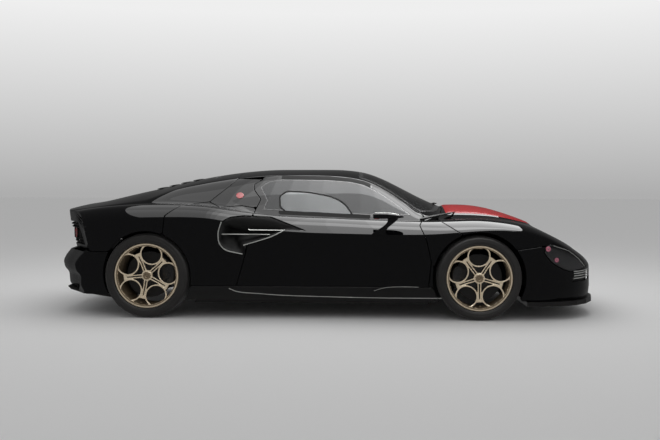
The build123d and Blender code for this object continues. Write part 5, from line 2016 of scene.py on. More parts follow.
@dataclass
class Doors(Assembly):
    """The doors with their windows, linings and mirrors."""

    thickness: float = 16.0
    glass_thickness: float = 4.0
    border: float = 8.0
    frame: float = 15.0
    lining_depth: float = 60.0
    belt: float = 32.0
    belt_line: Outline = ((-500, 880), (-100, 862), (400, 838))
    belt_ends: tuple[float, float] = (-363.0, 400.0)
    lining_top: float = 800.0
    lining_split: float = 640.0
    # Each point's x and z, and how far it lies inside the door's skin.
    pull_path: Table = ((40, 600, 90), (60, 612, 112), (140, 622, 116), (240, 628, 116), (300, 622, 112),
                        (320, 612, 90))

    def build(self) -> None:
        """Makes both doors."""
        for side in Side:
            self.door(side)
            self.glass(side)
            self.mirror(side)

    def door(self, side: Side) -> None:
        """The door's skin, its lining and its handle.

        Args:
            side: the car's side.
        """
        sheet = self.form.whole
        body = f"door_{side.hand}"
        half = half_field(sheet, side)
        edge = DOOR_REAR + DOOR_FRONT + DOOR_RAIL
        skin = lowest(region(sheet, edge, View.SIDE), outside(sheet, WINDOW, View.SIDE, -2.0),
                      outside(sheet, SCOOP, View.SIDE, 0), half, arch_field(sheet))
        x, z = sheet.points[..., 0], sheet.points[..., 2]
        belt = lowest(z - np.interp(x, *zip(*self.belt_line)) + self.belt, x - self.belt_ends[0],
                      self.belt_ends[1] - x)
        self.piece(f"door_skin_{side.hand}", panel(sheet, [skin, belt], self.thickness),
                   (Finishes.PAINT, Finishes.SEAL), body, [body], "body_paint")
        deep = sheet.sunk(self.lining_depth)
        lining = lowest(region(sheet, edge, View.SIDE, 90.0), half, self.lining_top - z,
                        outside(sheet, SCOOP, View.SIDE, -30.0))
        low = self.lining_split - deep.points[..., 2]
        self.piece(f"door_lining_{side.hand}", panel(deep, [lining, low], 22.0, 8.0),
                   (Finishes.LEATHER, Finishes.RED_LEATHER), body, (), "trim_leather")
        self.piece(f"door_pull_{side.hand}", self.pull(side), (Finishes.SILVER,), body)

    def pull(self, side: Side) -> Solid:
        """The grab handle on the lining.

        Args:
            side: the car's side.

        Returns:
            The handle.
        """
        points = np.concatenate([laid(self.form.on_side, [(x, z)], -depth, side)
                                 for x, z, depth in self.pull_path])
        last = len(points) - 1
        dense = [np.interp(np.linspace(0, last, 30), range(last + 1), points[:, k]) for k in range(3)]
        return tube(np.stack(dense, 1), 8.0, 10)

    def glass(self, side: Side) -> None:
        """The side window: dark glass with a clear, black-framed quarterlight.

        Args:
            side: the car's side.
        """
        sheet = self.form.whole
        edge = lowest(region(sheet, WINDOW, View.SIDE, GLASS_GAP), half_field(sheet, side))
        quarter = region(sheet, rounded(QUARTERLIGHT, 1), View.SIDE, 0)
        fields = [edge, edge - self.border, quarter + self.frame, quarter]
        name = f"door_glass_{side.hand}"
        self.piece(name, panel(sheet, fields, self.glass_thickness, 1.2, self.glass_finish),
                   (Finishes.FRIT, Finishes.GLASS, Finishes.CLEAR_GLASS, Finishes.SEAL),
                   f"door_{side.hand}", [name], "side_glass")

    @staticmethod
    def glass_finish(f: np.ndarray) -> np.ndarray:
        """Picks border, dark glass, frame or clear glass for each face.

        Args:
            f: each face's distances inside the window, its border, the frame and the clear glass.

        Returns:
            Each face's finish.
        """
        finish = np.where(f[:, 1] > 0, 1, 0)
        finish = np.where(f[:, 2] > 0, 3, finish)
        return np.where(f[:, 3] > 0, 2, finish)

    def mirror(self, side: Side) -> None:
        """The mirror: a rounded head with its cap and glass, on a raked blade.

        Args:
            side: the car's side.
        """
        glass = block((422, -1070, 825), (426, -942, 863), 1.5)
        under = block((431, -1050, 818.5), (470, -960, 822), 1)
        solid = by_finish([self.head(), self.stalk()], [self.cap()], [glass], [under])
        if side is Side.LEFT:
            solid = solid.moved(MIRROR)
        name = f"mirror_{side.hand}"
        self.piece(name, solid, (Finishes.PAINT, Finishes.SILVER, Finishes.CHROME, Finishes.BADGE),
                   f"door_{side.hand}", [name], "body_paint")

    def section(self, x: float, low: float, high: float, inner: float, outer: float,
                power: float = 3.4) -> np.ndarray:
        """A rounded upright section of the mirror's head.

        Args:
            x: its place along the car.
            low: its lowest height.
            high: its highest height.
            inner: its y on one side.
            outer: its y on the other side.
            power: how square it is; 2 is an ellipse.

        Returns:
            The section's points.
        """
        turn = round_turn(48)
        c, s = np.cos(turn), np.sin(turn)
        y = (inner + outer) / 2 + (outer - inner) / 2 * np.sign(c) * np.abs(c) ** (2 / power)
        z = (low + high) / 2 + (high - low) / 2 * np.sign(s) * np.abs(s) ** (2 / power)
        return np.stack([np.full_like(y, x), y, z], 1)

    def head(self) -> Solid:
        """The mirror's housing, fuller at the back than at the front.

        Returns:
            The right housing.
        """
        table = ((422, 822, 866, -1079, -931), (427, 820, 868, -1082, -929), (470, 819, 872, -1084, -926),
                 (530, 820, 871, -1084, -927), (590, 822, 864, -1080, -932), (630, 825, 854, -1070, -944),
                 (655, 828, 845, -1054, -962), (664, 831, 840, -1040, -980))
        return loft(np.array([self.section(*row) for row in table]))

    def cap(self) -> Solid:
        """The pale cap along the top of the housing.

        Returns:
            The right cap.
        """
        table = ((436, 858, 871.2, -1066, -944), (470, 860, 872.6, -1072, -938),
                 (530, 860, 872.2, -1072, -938), (590, 852, 866.5, -1066, -946),
                 (625, 846, 857.0, -1054, -960))
        return loft(np.array([self.section(*row, power=5.0) for row in table]))

    def stalk(self) -> Solid:
        """The blade from the door up to the head.

        Returns:
            The right blade.
        """
        rings = []
        for t in np.linspace(0, 1, 14):
            bend = smoothstep(t)
            middle = (470 + 110 * bend, -928 - 78 * bend, 684 + 142 * t)
            length = 66 - 30 * math.sin(math.pi * t) - 20 * t
            rings.append(oval(28, (length, 0, 0), (0, 7, 4)) + middle)
        return loft(np.array(rings))


@dataclass
class Flanks(Assembly):
    """The rear quarters with their scoops, the pillars and the skirts."""

    thickness: float = 14.0
    scoop_depth: float = 150.0
    scoop_lap: float = 10.0
    ring: float = 5.0
    vane_depth: float = 34.0
    # Each vane's height and its two ends along the car.
    vanes: Table = ((737, -585, -300), (687, -800, -414))
    skirt_front: float = 1276.0
    skirt_inner: float = 600.0
    skirt_step: float = 9.0
    skirt_line: Outline = ((-749, 245), (-676, 213), (-501, 203), (-326, 188), (65, 179), (322, 174),
                           (700, 172), (1000, 176))
    crease_line: Outline = ((430, 232), (523, 262), (640, 268), (790, 266))
    backing_depth: float = 20.0
    backing_half: float = 34.0

    def build(self) -> None:
        """Makes the flanks."""
        sheet = self.form.whole
        edge = DOOR_REAR[4:] + ((-1300, SKIRT_TOP),) + HAUNCH_LINE[:0:-1] + PILLAR_FOOT
        quarter = lowest(region(sheet, edge, View.SIDE), outside(sheet, SCOOP, View.SIDE, 0),
                         arch_field(sheet))
        self.piece("rear_quarters", panel(sheet, [quarter], self.thickness), (Finishes.PAINT,), "body",
                   ["rear_quarters"], "body_paint")
        edge = DOOR_REAR[:5] + PILLAR_FOOT[::-1] + HAUNCH_LINE[1::-1] + ROOF_REAR[:1]
        pillar = np.where(sheet.points[..., 2] > 600, region(sheet, edge, View.SIDE), -500.0)
        self.piece("c_pillars", panel(sheet, [pillar], self.thickness), (Finishes.PAINT,), "body",
                   ["c_pillars"], "body_paint")
        self.skirts()
        self.scoops()

    def skirts(self) -> None:
        """The sills, with a bright line that flicks up ahead of the rear wheel."""
        sheet = self.form.lower
        x, z = sheet.points[..., 0], sheet.points[..., 2]
        band = lowest(SKIRT_TOP - GAP / 2 - z, x - REAR_AXLE, self.skirt_front - x, arch_field(sheet),
                      np.abs(sheet.points[..., 1]) - self.skirt_inner)
        step = np.interp(x, *zip(*self.skirt_line))
        raised = sheet.raised(self.skirt_step * smoothstep((step - z) / 8.0))
        self.piece("side_skirts", panel(raised, [band], self.thickness), (Finishes.CARBON,), "body",
                   ["side_skirts"], "carbon")
        x, z = x[::2], z[::2]
        inner = Sheet((sheet.points - sheet.normals * self.backing_depth)[::2])
        strip = lowest(self.backing_half - np.abs(z - SKIRT_TOP), x - REAR_AXLE, FRONT_AXLE - x,
                       arch_field(inner), np.abs(inner.points[..., 1]) - self.skirt_inner)
        self.piece("skirt_backing", panel(inner, [strip], 4.0, 1.0), (Finishes.DUCT,), "body")
        parts = []
        for side in Side:
            for line, radius in ((self.skirt_line, 3.0), (self.crease_line, 1.6)):
                path = laid(self.form.on_side, softened(line), 3.0, side)
                parts.append(tube(path, radius, 8))
        self.piece("skirt_edges", joined(parts), (Finishes.SILVER,), "body")

    def scoops(self) -> None:
        """The side scoops: bowls, rings, a pale tube along each lower lip as a painted highlight, and vanes.
        """
        sheet = self.form.whole
        bowls, rings = [], []
        for side in Side:
            half = half_field(sheet, side)
            value = np.minimum(region(sheet, SCOOP, View.SIDE, -6.0), half)
            depth = self.scoop_depth * smoothstep(np.clip(value, 0, 110) / 110)
            depth *= np.clip((-60 - sheet.points[..., 0]) / 420, 0.10, 1.0)
            bowls.append(panel(sheet.raised(-depth - self.scoop_lap), [value], 6.0, 1.0))
            rings.append(self.hoop(side))
            rings += [self.vane(side, *row) for row in self.vanes]
        self.piece("scoop_bowls", joined(bowls), (Finishes.DUCT,), "body")
        self.piece("scoop_trim_and_lip_highlights", joined(rings), (Finishes.SILVER,), "body")

    def hoop(self, side: Side) -> Solid:
        """The bright ring round the scoop's rear, and a pale tube along its lower lip that paints the
        highlight on the lip's rolled edge.

        Args:
            side: the car's side.

        Returns:
            The edge.
        """
        # The rear arc is a real trim ring; the tube along the lower lip is a painted highlight.
        paths = [laid(self.form.on_side, softened(corners), -self.ring, side)
                 for corners in (SCOOP[4:-3], SCOOP[-3:])]
        return joined([tube(path, self.ring, 8) for path in paths])

    def vane(self, side: Side, height: float, start: float, end: float) -> Solid:
        """One level vane across the scoop.

        Args:
            side: the car's side.
            height: the vane's height.
            start: its rear end.
            end: its front end.

        Returns:
            The vane.
        """
        line = [(x, height) for x in np.linspace(start, end, 30)]
        path = laid(self.form.on_side, line, -self.vane_depth, side)
        return loft(path[:, None] + oval(12, (0, 22 * side.value, 0), (0, 0, 5)))


@dataclass
class Tail(Assembly):
    """The rear clamshell, its window and louvres, the fascia, lamps, bumper and exhausts."""

    thickness: float = 14.0
    lid_floor: float = 700.0
    window_border: float = 26.0
    louvres: tuple[float, ...] = (-1160.0, -1270.0, -1380.0, -1490.0)
    louvre_inset: float = 34.0
    louvre_lift: float = 5.0
    recess: float = 34.0
    slats: tuple[float, ...] = (606.0, 632.0, 728.0, 752.0)
    posts: tuple[float, ...] = (-700.0, -350.0, 0.0, 350.0, 700.0)
    slat_ends: tuple[float, ...] = (590.0, 628.0, 666.0, 704.0, 742.0)
    lamp_places: tuple[float, ...] = (-610.0, -470.0, 470.0, 610.0)
    lamp_height: float = 680.0
    lamp_radius: float = 52.0
    lamp_sink: float = 16.0
    exhaust_radius: float = 50.0
    exhaust_gap: float = 6.0
    exhaust_spacing: float = 90.0
    exhaust_height: float = 330.0
    diffuser_side: float = 711.0
    diffuser_top: float = 222.0
    ramp: Outline = ((-1640, 118), (-1800, 138), (-1950, 170), (-2080, 201), (-2165, 220))
    ramp_thickness: float = 9.0
    fins: tuple[float, ...] = (-694.0, -460.0, -230.0, 0.0, 230.0, 460.0, 694.0)
    centre_reach: float = 45.0

    def build(self) -> None:
        """Makes the tail's pieces."""
        self.lid()
        self.window()
        self.fascia()
        self.lamps()
        self.bumper()
        self.exhausts()
        self.diffuser()

    @staticmethod
    def end_field(sheet: Sheet) -> np.ndarray:
        """The distance from the sheet's rear end."""
        step = np.linalg.norm(np.diff(sheet.points, axis=0), axis=2)
        return np.concatenate([np.zeros((1, step.shape[1])), np.cumsum(step, axis=0)])

    @staticmethod
    def wall_field(wall: Sheet, sheet: Sheet) -> np.ndarray:
        """The distance inside the body's section where a sheet meets the tail's wall."""
        return region(wall, sheet.points[0][:, 1:], View.END, 0)

    def lip_x(self, y: np.ndarray, height: float) -> np.ndarray:
        """The lip's x at places across the tail, at one height."""
        return self.form.tail_x(self.form.LIP_PLAN, self.form.LIP_LEAN, y, np.full_like(y, height))

    def lid(self) -> None:
        """The rear clamshell and its upright tail panel."""
        sheet = self.form.tail_lid
        edge = ROOF_REAR[::-1] + HAUNCH_LINE + ((-1423, 500), (-1650, TAIL_CUT), (-FAR, TAIL_CUT),
                                                (-FAR, HIGH))
        above = np.where(sheet.points[..., 2] > self.lid_floor,
                         outside(sheet, mirrored(ENGINE_WINDOW), View.PLAN, GLASS_GAP), 500.0)
        open_end = np.where(sheet.points[..., 0] < -1950, outside(sheet, FASCIA, View.END, 0), 500.0)
        top = lowest(region(sheet, edge, View.SIDE), above, open_end, arch_field(sheet),
                     self.end_field(sheet))
        wall = self.form.tail_wall(self.form.LIP_PLAN, self.form.LIP_LEAN, TAIL_CUT, 960.0)
        back = lowest(self.wall_field(wall, sheet), wall.points[..., 2] - TAIL_CUT - GAP / 2,
                      outside(wall, FASCIA, View.END, 0))
        solid = joined([panel(sheet, [top], self.thickness), panel(wall, [back], self.thickness)])
        self.piece("rear_lid", solid, (Finishes.PAINT,), "rear_lid", ["rear_lid"], "body_paint")
        self.piece("lip_edge", tube(self.wall_line(792.0, 560.0, 4.0), 3.4, 8), (Finishes.STEEL,),
                   "rear_lid")

    def wall_line(self, height: float, reach: float, ahead: float) -> np.ndarray:
        """Draws a line across the tail, level and ahead of the wall.

        Args:
            height: its height.
            reach: how far it goes to either side.
            ahead: how far it stands ahead of the wall.

        Returns:
            The line's points.
        """
        y = np.linspace(reach, -reach, 90)
        return np.stack([self.lip_x(y, height) + ahead, y, np.full_like(y, height)], 1)

    def window(self) -> None:
        """The engine window with its border and four louvres."""
        sheet = self.form.tail_lid
        inner = region(sheet, mirrored(ENGINE_WINDOW), View.PLAN, GLASS_GAP)
        inner = np.where(sheet.points[..., 2] > self.lid_floor, inner, -500.0)
        pane = panel(sheet, [inner, inner - self.window_border], 5.0, 1.5)
        self.piece("engine_window", pane, (Finishes.FRIT, Finishes.GLASS), "rear_lid", ["engine_window"],
                   "side_glass")
        ring = oval(16, (30, 0, 4), (0, 0, 3))
        louvres = []
        for place in self.louvres:
            half = float(np.interp(place, *zip(*ENGINE_WINDOW[:2]))) - self.louvre_inset
            y = np.linspace(-half, half, 40)
            x = np.full_like(y, place)
            line = np.stack([x, y, on_surface(sheet, x, y) + self.louvre_lift], 1)
            louvres.append(loft(line[:, None] + ring))
        self.piece("engine_louvres", joined(louvres), (Finishes.TRIM,), "rear_lid")

    def fascia(self) -> None:
        """The recessed mesh between the lip and the bumper, with slats round to the corners."""
        wall = self.form.tail_wall(self.form.LIP_PLAN, self.form.LIP_LEAN, TAIL_CUT, 800.0)
        wall = Sheet(wall.points + (self.recess, 0, 0))
        field_ = lowest(region(wall, FASCIA, View.END, -20.0), wall.points[..., 2] - TAIL_CUT - 8)
        self.piece("rear_fascia", panel(wall, [field_], 6.0, 1.0), (Finishes.MESH,), "rear_lid",
                   ["rear_fascia"], "mesh")
        ring = oval(14, (15, 0, 0), (0, 0, 4.5))
        slats = []
        for height in self.slats:
            reach = float(np.interp(height, (585, 775), (806, 766)))
            slats.append(loft(self.wall_line(height, reach, 16.0)[:, None] + ring))
        for y, x in zip(self.posts, self.lip_x(np.array(self.posts), self.lamp_height)):
            slats.append(block((x + 14, y - 4, 596), (x + 34, y + 4, 766), 2))
        self.piece("tail_slats", joined(slats), (Finishes.TRIM,), "rear_lid")
        ends = [self.side_slat(height, side) for height in self.slat_ends for side in Side]
        self.piece("slat_ends", joined(ends), (Finishes.SLAT,), "rear_lid")

    def diffuser(self) -> None:
        """The diffuser: a rising floor over seven fins, the outer two along its sides."""
        under = np.array(softened(self.ramp))
        loop = np.concatenate([under, under[::-1] + (0, self.ramp_thickness)])
        parts = [loft(np.array([self.swept(loop, loop, y, y) for y in np.linspace(-700, 700, 57)]))]
        fin = np.array(((-1700, 119), (-1896, 147), (-2069, 177), (-2140, 198), (-2160, 217), (-2080, 203),
                        (-1950, 172), (-1800, 140)))
        middle = fin.mean(0)
        for y in self.fins:
            parts.append(loft(np.array([
                self.swept(middle + (fin - middle) * scale, fin, y, y + aside)
                for aside, scale in ((-4, 0.985), (-2.5, 1.0), (2.5, 1.0), (4, 0.985))])))
        self.piece("diffuser", joined(parts), (Finishes.CARBON,), "body", ["diffuser"], "carbon")

    def swept(self, outline: np.ndarray, guide: np.ndarray, centre: float, y: float) -> np.ndarray:
        """A side outline of the diffuser, set back further towards the car's middle.

        Args:
            outline: its points (x, z).
            guide: the points that give how far each one is set back.
            centre: how far from the car's middle the setback is taken.
            y: where the outline stands.

        Returns:
            The outline's points in space.
        """
        bow = self.centre_reach * (1 - (centre / 720) ** 2) * np.clip((-1800 - guide[:, 0]) / 300, 0, 1)
        return np.stack([outline[:, 0] - bow, np.full(len(outline), y), outline[:, 1]], 1)

    def side_slat(self, height: float, side: Side) -> Solid:
        """A slat's end, which wraps forward along the flank and tapers out.

        Args:
            height: the slat's height.
            side: the car's side.

        Returns:
            The slat's end.
        """
        front = -1925
        start = -2140 - 0.25 * (height - self.slat_ends[0])
        rings = []
        for share in np.linspace(0, 1, 24):
            place, normal = surface_place(self.form.tail_lid, start + (front - start) * share, height, side)
            size = 5 * (1 - 0.8 * share**3)
            rings.append(oval(10, normal * size, (0, 0, size)) + np.array(place))
        return loft(np.array(rings))

    def lamps(self) -> None:
        """Four round lamps: a lens with a rim, a light ring and a ribbed middle."""
        r = self.lamp_radius
        rim = ((r - 6, -18), (r, -18), (r, 6), (r - 2, 8), (r - 5, 8), (r - 6, 6))
        lens = ((0, -14), (r - 6, -14), (r - 6, 3), (r - 12, 6), (r - 18, 6.5), (r - 19, 4), (24, 4),
                (23, 6.5), (18, 7.5), (0, 8))
        rims, lenses = [], []
        for y in self.lamp_places:
            middle, left, right = self.lip_x(np.array([y, y + 8, y - 8]), self.lamp_height)
            out = Vector((-1, (left - right) / 16, 0)).normalized()
            turn = facing(Vector((middle, y, self.lamp_height)) - out * self.lamp_sink, out)
            rims.append(lathe(rim, 72).moved(turn))
            lenses.append(lathe(lens, 72, False).moved(turn))
        self.piece("tail_lamps", by_finish(rims, lenses), (Finishes.TRIM, Finishes.TAIL_LENS), "rear_lid",
                   ["tail_lamps"], "tail_lens")

    def bumper(self) -> None:
        """The bumper: two sides and a curved back with openings for the exhausts and diffuser."""
        sheet = self.form.tail_bumper
        top = TAIL_CUT - GAP / 2
        x, z = sheet.points[..., 0], sheet.points[..., 2]
        flank = lowest(top - z, z - BUMPER_BOTTOM, REAR_AXLE - x, arch_field(sheet), self.end_field(sheet))
        wall = self.form.tail_wall(self.form.BUMPER_PLAN, self.form.BUMPER_LEAN, BUMPER_BOTTOM, top)
        y, z = wall.points[..., 1], wall.points[..., 2]
        mouth = np.maximum(np.abs(y) - self.diffuser_side, z - self.diffuser_top)
        bore = self.exhaust_radius + self.exhaust_gap
        pipes = [np.hypot(y - side.value * self.exhaust_spacing, z - self.exhaust_height) - bore
                 for side in Side]
        back = lowest(self.wall_field(wall, sheet), z - BUMPER_BOTTOM, top - z, mouth, *pipes)
        solid = joined([panel(sheet, [flank], self.thickness), panel(wall, [back], self.thickness)])
        self.piece("rear_bumper", solid, (Finishes.PAINT,), "body", ["rear_bumper"], "body_paint")

    def exhausts(self) -> None:
        """Two double-walled tips with sooted bores."""
        r = self.exhaust_radius
        skin = ((r - 7, -100), (r - 1, -100), (r, -60), (r, -6), (r - 1.5, -1.5), (r - 4, 0), (r - 6, -1.5),
                (r - 7, -5), (r - 7, -60))
        bore = ((r - 12, -100), (r - 8, -100), (r - 8, -16), (r - 10, -13), (r - 12, -16))
        plug = ((0, -96), (r - 10, -96), (r - 10, -90), (0, -90))
        skins, sooted = [], []
        for side in Side:
            place = (TAIL + 5, side.value * self.exhaust_spacing, self.exhaust_height)
            turn = facing(place, Vector((-1, 0, 0)))
            skins.append(lathe(skin, 72).moved(turn))
            sooted += [lathe(bore, 72).moved(turn), lathe(plug, 48, False).moved(turn)]
        self.piece("exhaust_tips", by_finish(skins, sooted), (Finishes.EXHAUST, Finishes.SOOT), "body",
                   ["exhaust_tips"], "exhaust_metal")


# ---- Wheels and brakes ----
@dataclass
class Corner:
    """One wheel's place and sizes."""

    front: bool
    side: Side

    @property
    def name(self) -> str:
        """The wheel's name as nodes spell it."""
        return f"{'front' if self.front else 'rear'}_{self.side.hand}"

    @property
    def radius(self) -> float:
        """The tyre's radius."""
        return FRONT_TYRE_RADIUS if self.front else REAR_TYRE_RADIUS

    @property
    def width(self) -> float:
        """The tyre's width."""
        return FRONT_TYRE_WIDTH if self.front else REAR_TYRE_WIDTH

    @property
    def centre(self) -> Vector:
        """The wheel's centre."""
        x = FRONT_AXLE if self.front else REAR_AXLE
        y = FRONT_WHEEL_Y if self.front else REAR_WHEEL_Y
        return Vector((x, self.side.value * y, self.radius))

    def placed(self, solid: Solid) -> Solid:
        """A solid made with +Y outward, carried to this wheel."""
        turn = Matrix.Identity(4) if self.side is Side.LEFT else MIRROR
        return solid.moved(Matrix.Translation(self.centre) @ turn)

    def around(self, radius: float, y: float, angle: float) -> tuple[float, float, float]:
        """A place about the wheel's axis, with 0 degrees towards the car's middle."""
        turn = math.radians(angle + (180 if self.front else 0))
        return (radius * math.cos(turn), y, radius * math.sin(turn))


@dataclass
class Running(Assembly):
    """The wheels, tyres and brakes, and the plain pieces of the suspension."""

    rim_radius: float = 254.0
    rim_inset: float = 12.0
    face_depth: float = 18.0
    hole_wide: float = 80.0
    hole_deep: float = 76.0
    hole_circle: float = 178.0
    ring_width: float = 13.0
    rib_width: float = 8.5
    rib_offset: float = 10.5
    rib_end: float = 178.0
    hub_radius: float = 44.0
    hub_sink: float = 22.0
    holes: int = 5
    grid: float = 6.3
    wall_faces: tuple[float, float] = (548.0, 554.0)
    wall_hole: float = 118.0
    wall_bottom: float = 118.0
    caliper_half: float = 30.0
    caliper_inner: float = 114.0
    caliper_crown: float = 216.0

    def build(self) -> None:
        """Makes the four corners."""
        for front in (True, False):
            face = self.face(front)
            for side in Side:
                corner = Corner(front, side)
                self.tyre(corner)
                self.rim(corner, face)
                self.disc(corner)
                self.caliper(corner)
        self.well_walls()
        for node in ("wheel_liners", "suspension_arms", "rear_carriers", "carrier_left", "carrier_right"):
            self.dress(node, Finishes.DUCT if node == "wheel_liners" else Finishes.STEEL)

    def well_walls(self) -> None:
        """The wells' inner walls, pierced for the suspension."""
        near, far = self.wall_faces
        walls = []
        for front in (True, False):
            for side in Side:
                corner = Corner(front, side)
                outer = corner.radius + (65 if front else 24)
                rings = []
                for turn in np.linspace(math.radians(-42), math.radians(222), 60):
                    rings.append([
                        (corner.centre.x + r * math.cos(turn), side.value * y,
                         max(corner.centre.z + r * math.sin(turn), self.wall_bottom))
                        for r, y in ((outer, near), (outer, far), (self.wall_hole, far),
                                     (self.wall_hole, near))])
                walls.append(loft(np.array(rings)))
        self.piece("well_walls", joined(walls), (Finishes.DUCT,), "body")

    def edge(self, front: bool) -> float:
        """How far the rim's outer edge lies from the wheel's centre plane."""
        return (FRONT_TYRE_WIDTH if front else REAR_TYRE_WIDTH) / 2 - self.rim_inset

    def tyre(self, corner: Corner) -> None:
        """The tyre: rounded shoulders, rim protector, rings on the sidewall and grooves.

        Args:
            corner: the wheel's place and sizes.
        """
        half, r, rim = corner.width / 2, corner.radius, self.rim_radius
        outer = [(rim + 3, half - 25), (rim + 12, half - 22), (rim + 16, half - 13), (rim + 18, half - 6),
                 (rim + 21, half - 3.5), (rim + 26, half - 4.5), (rim + 30, half - 2),
                 (rim + 38, half - 0.6), (rim + 46, half - 0.4), (rim + 47, half - 1.2),
                 (rim + 49, half - 1.2), (rim + 50, half - 0.4), (r - 26, half - 2.0),
                 (r - 25, half - 3.2), (r - 23, half - 3.4), (r - 22, half - 3.0),
                 (r - 15, half - 7), (r - 9, half - 13), (r - 4.5, half - 21), (r - 1.8, half - 31)]
        tread = []
        for share, width in ((0.60, 9), (0.22, 11), (-0.16, 11), (-0.54, 9)):
            middle = share * half
            tread += [(r - 0.2, middle + width / 2 + 1), (r - 1.5, middle + width / 2),
                      (r - 7, middle + width / 2 - 1.5), (r - 7, middle - width / 2 + 1.5),
                      (r - 1.5, middle - width / 2), (r - 0.2, middle - width / 2 - 1)]
        inner = [(a, -b) for a, b in reversed(outer)]
        solid = lathe((outer + tread + inner)[::-1], 112)
        self.piece(f"tyre_{corner.name}", corner.placed(solid), (Finishes.RUBBER,), f"wheel_{corner.name}",
                   [f"tyre_{corner.name}"], "tyre_rubber", corner.centre)

    def pattern(self, x: np.ndarray, z: np.ndarray) -> tuple[np.ndarray, np.ndarray]:
        """The wheel face's outline and where its rings stand proud.

        Args:
            x: places across the face.
            z: places up the face.

        Returns:
            The distance inside the metal and the distance inside the rings.
        """
        r = np.hypot(x, z)
        solid = np.maximum(r - (self.rim_radius - 15), self.hub_radius - r)
        ring = np.full_like(r, -500.0)
        web = np.full_like(r, -500.0)
        clear = np.full_like(r, 500.0)
        for k in range(self.holes):
            angle = math.radians(90 + 72 * k)
            out = x * math.cos(angle) + z * math.sin(angle) - self.hole_circle
            aside = -x * math.sin(angle) + z * math.cos(angle)
            reach = np.hypot(out / self.hole_deep, aside / self.hole_wide)
            away = (reach - 1) * (self.hole_deep + self.hole_wide) / 2
            ring = np.maximum(ring, self.ring_width / 2 - np.abs(away - self.ring_width / 2))
            clear = np.minimum(clear, away)
            gap = angle + math.radians(36)
            along = x * math.cos(gap) + z * math.sin(gap)
            across = -x * math.sin(gap) + z * math.cos(gap)
            spread = self.rib_offset - 0.02 * (along - 60)
            rib = self.rib_width / 2 - np.abs(np.abs(across) - spread)
            rib = np.minimum(np.minimum(rib, along - 30), self.rib_end - along)
            web = np.maximum(web, np.minimum(11 - np.abs(along - 182), 40 - np.abs(across)))
            solid = np.maximum(solid, rib)
        solid = np.maximum(solid, np.minimum(web, clear))
        return np.maximum(solid, ring), ring

    def face(self, front: bool) -> Solid:
        """The wheel's face with its five ringed windows.

        Args:
            front: whether it is for a front wheel.

        Returns:
            The face about the wheel's centre, with +Y outward.
        """
        reach = self.rim_radius - 11
        step = np.arange(-reach - 8, reach + 12, self.grid)
        z, x = np.meshgrid(step, step, indexing="ij")
        r = np.hypot(x, z)
        metal, ring = self.pattern(x, z)
        edge = self.edge(front)
        dish = edge - 13 - 20 * (1 - (r / reach) ** 2) + 14 * np.exp(-((r - 40) / 46) ** 2)
        proud = 5.0 * smoothstep(ring / 4 + 0.6) + 6.0 * smoothstep((r - reach + 22) / 12)
        sheet = Sheet(np.stack([x, dish + proud, z], 2))
        if sheet.normals[sheet.normals.shape[0] // 2, sheet.normals.shape[1] // 2, 1] < 0:
            sheet.normals = -sheet.normals
        return outward(panel(sheet, [np.minimum(metal, reach - r)], self.face_depth, 3.0))

    def rim(self, corner: Corner, face: Solid) -> None:
        """The rim: barrel, lips, face, centre-lock nut and valve.

        Args:
            corner: the wheel's place and sizes.
            face: the wheel's face.
        """
        edge = self.edge(corner.front)
        r = self.rim_radius
        barrel = [(r - 10, edge), (r + 6, edge), (r + 9.5, edge - 2), (r + 9.5, edge - 8), (r + 2, edge - 11),
                  (r - 0.5, edge - 18), (r - 0.5, edge - 40), (r - 9, edge - 60), (r - 9, -edge + 50),
                  (r - 0.5, -edge + 30), (r - 0.5, -edge + 11), (r + 9.5, -edge + 8), (r + 9.5, -edge + 2),
                  (r + 6, -edge), (r - 8, -edge), (r - 10, -edge + 3), (r - 14, -edge + 40),
                  (r - 14, edge - 50), (r - 12, edge - 14), (r - 11, edge - 4)]
        lip = lathe(((r - 12, edge - 12), (r + 9.8, edge - 5), (r + 9, edge - 1.5), (r + 5, edge + 0.2),
                     (r - 1, edge + 0.2), (r - 5, edge - 0.4), (r - 9, edge - 2), (r - 12, edge - 9)), 120)
        top = edge - self.hub_sink
        hub = lathe(((28, top + 5), (34, top + 5), (38, top + 2), (41, top), (43, top - 3), (43, top - 26),
                     (28, top - 26)), 96)
        stem = tube([(0, edge - 20, -r + 26), (0, edge - 6, -r + 31)], 4.0, 12)
        name, wheel = f"rim_{corner.name}", f"wheel_{corner.name}"
        turn = spun(-1.5 if corner.front else 12)
        self.piece(name, corner.placed(face.moved(turn)), (Finishes.BRONZE,), wheel, [name],
                   "wheel_bronze", corner.centre)
        # The barrel, the nut in the sunk hub and the valve take the darker bronze as painted shade.
        for part, solids, finish in (("barrel", [lathe(barrel[::-1], 112)], Finishes.BRONZE_DARK),
                                     ("lip", [lip, hub], Finishes.BRONZE),
                                     ("nut", [self.nut(top), stem], Finishes.BRONZE_DARK)):
            self.piece(f"{name}_{part}", corner.placed(joined(solids).moved(turn)), (finish,), wheel,
                       origin=corner.centre)

    def nut(self, top: float) -> Solid:
        """The centre-lock nut: a ring of lugs round a domed middle.

        Args:
            top: how far out the hub's face lies.

        Returns:
            The nut about the wheel's centre.
        """
        ring = lathe(((14, top + 8), (18, top + 12), (27, top + 12), (30, top + 9), (30, top - 8),
                      (14, top - 8)), 72)
        middle = lathe(((0, top - 6), (14, top - 6), (14, top + 5), (8, top + 8), (0, top + 9)), 48, False)
        lugs = [block((-4, top + 2, 29), (4, top + 11, 34), 2).moved(spun(a)) for a in range(0, 360, 36)]
        return joined([ring, middle, *lugs])

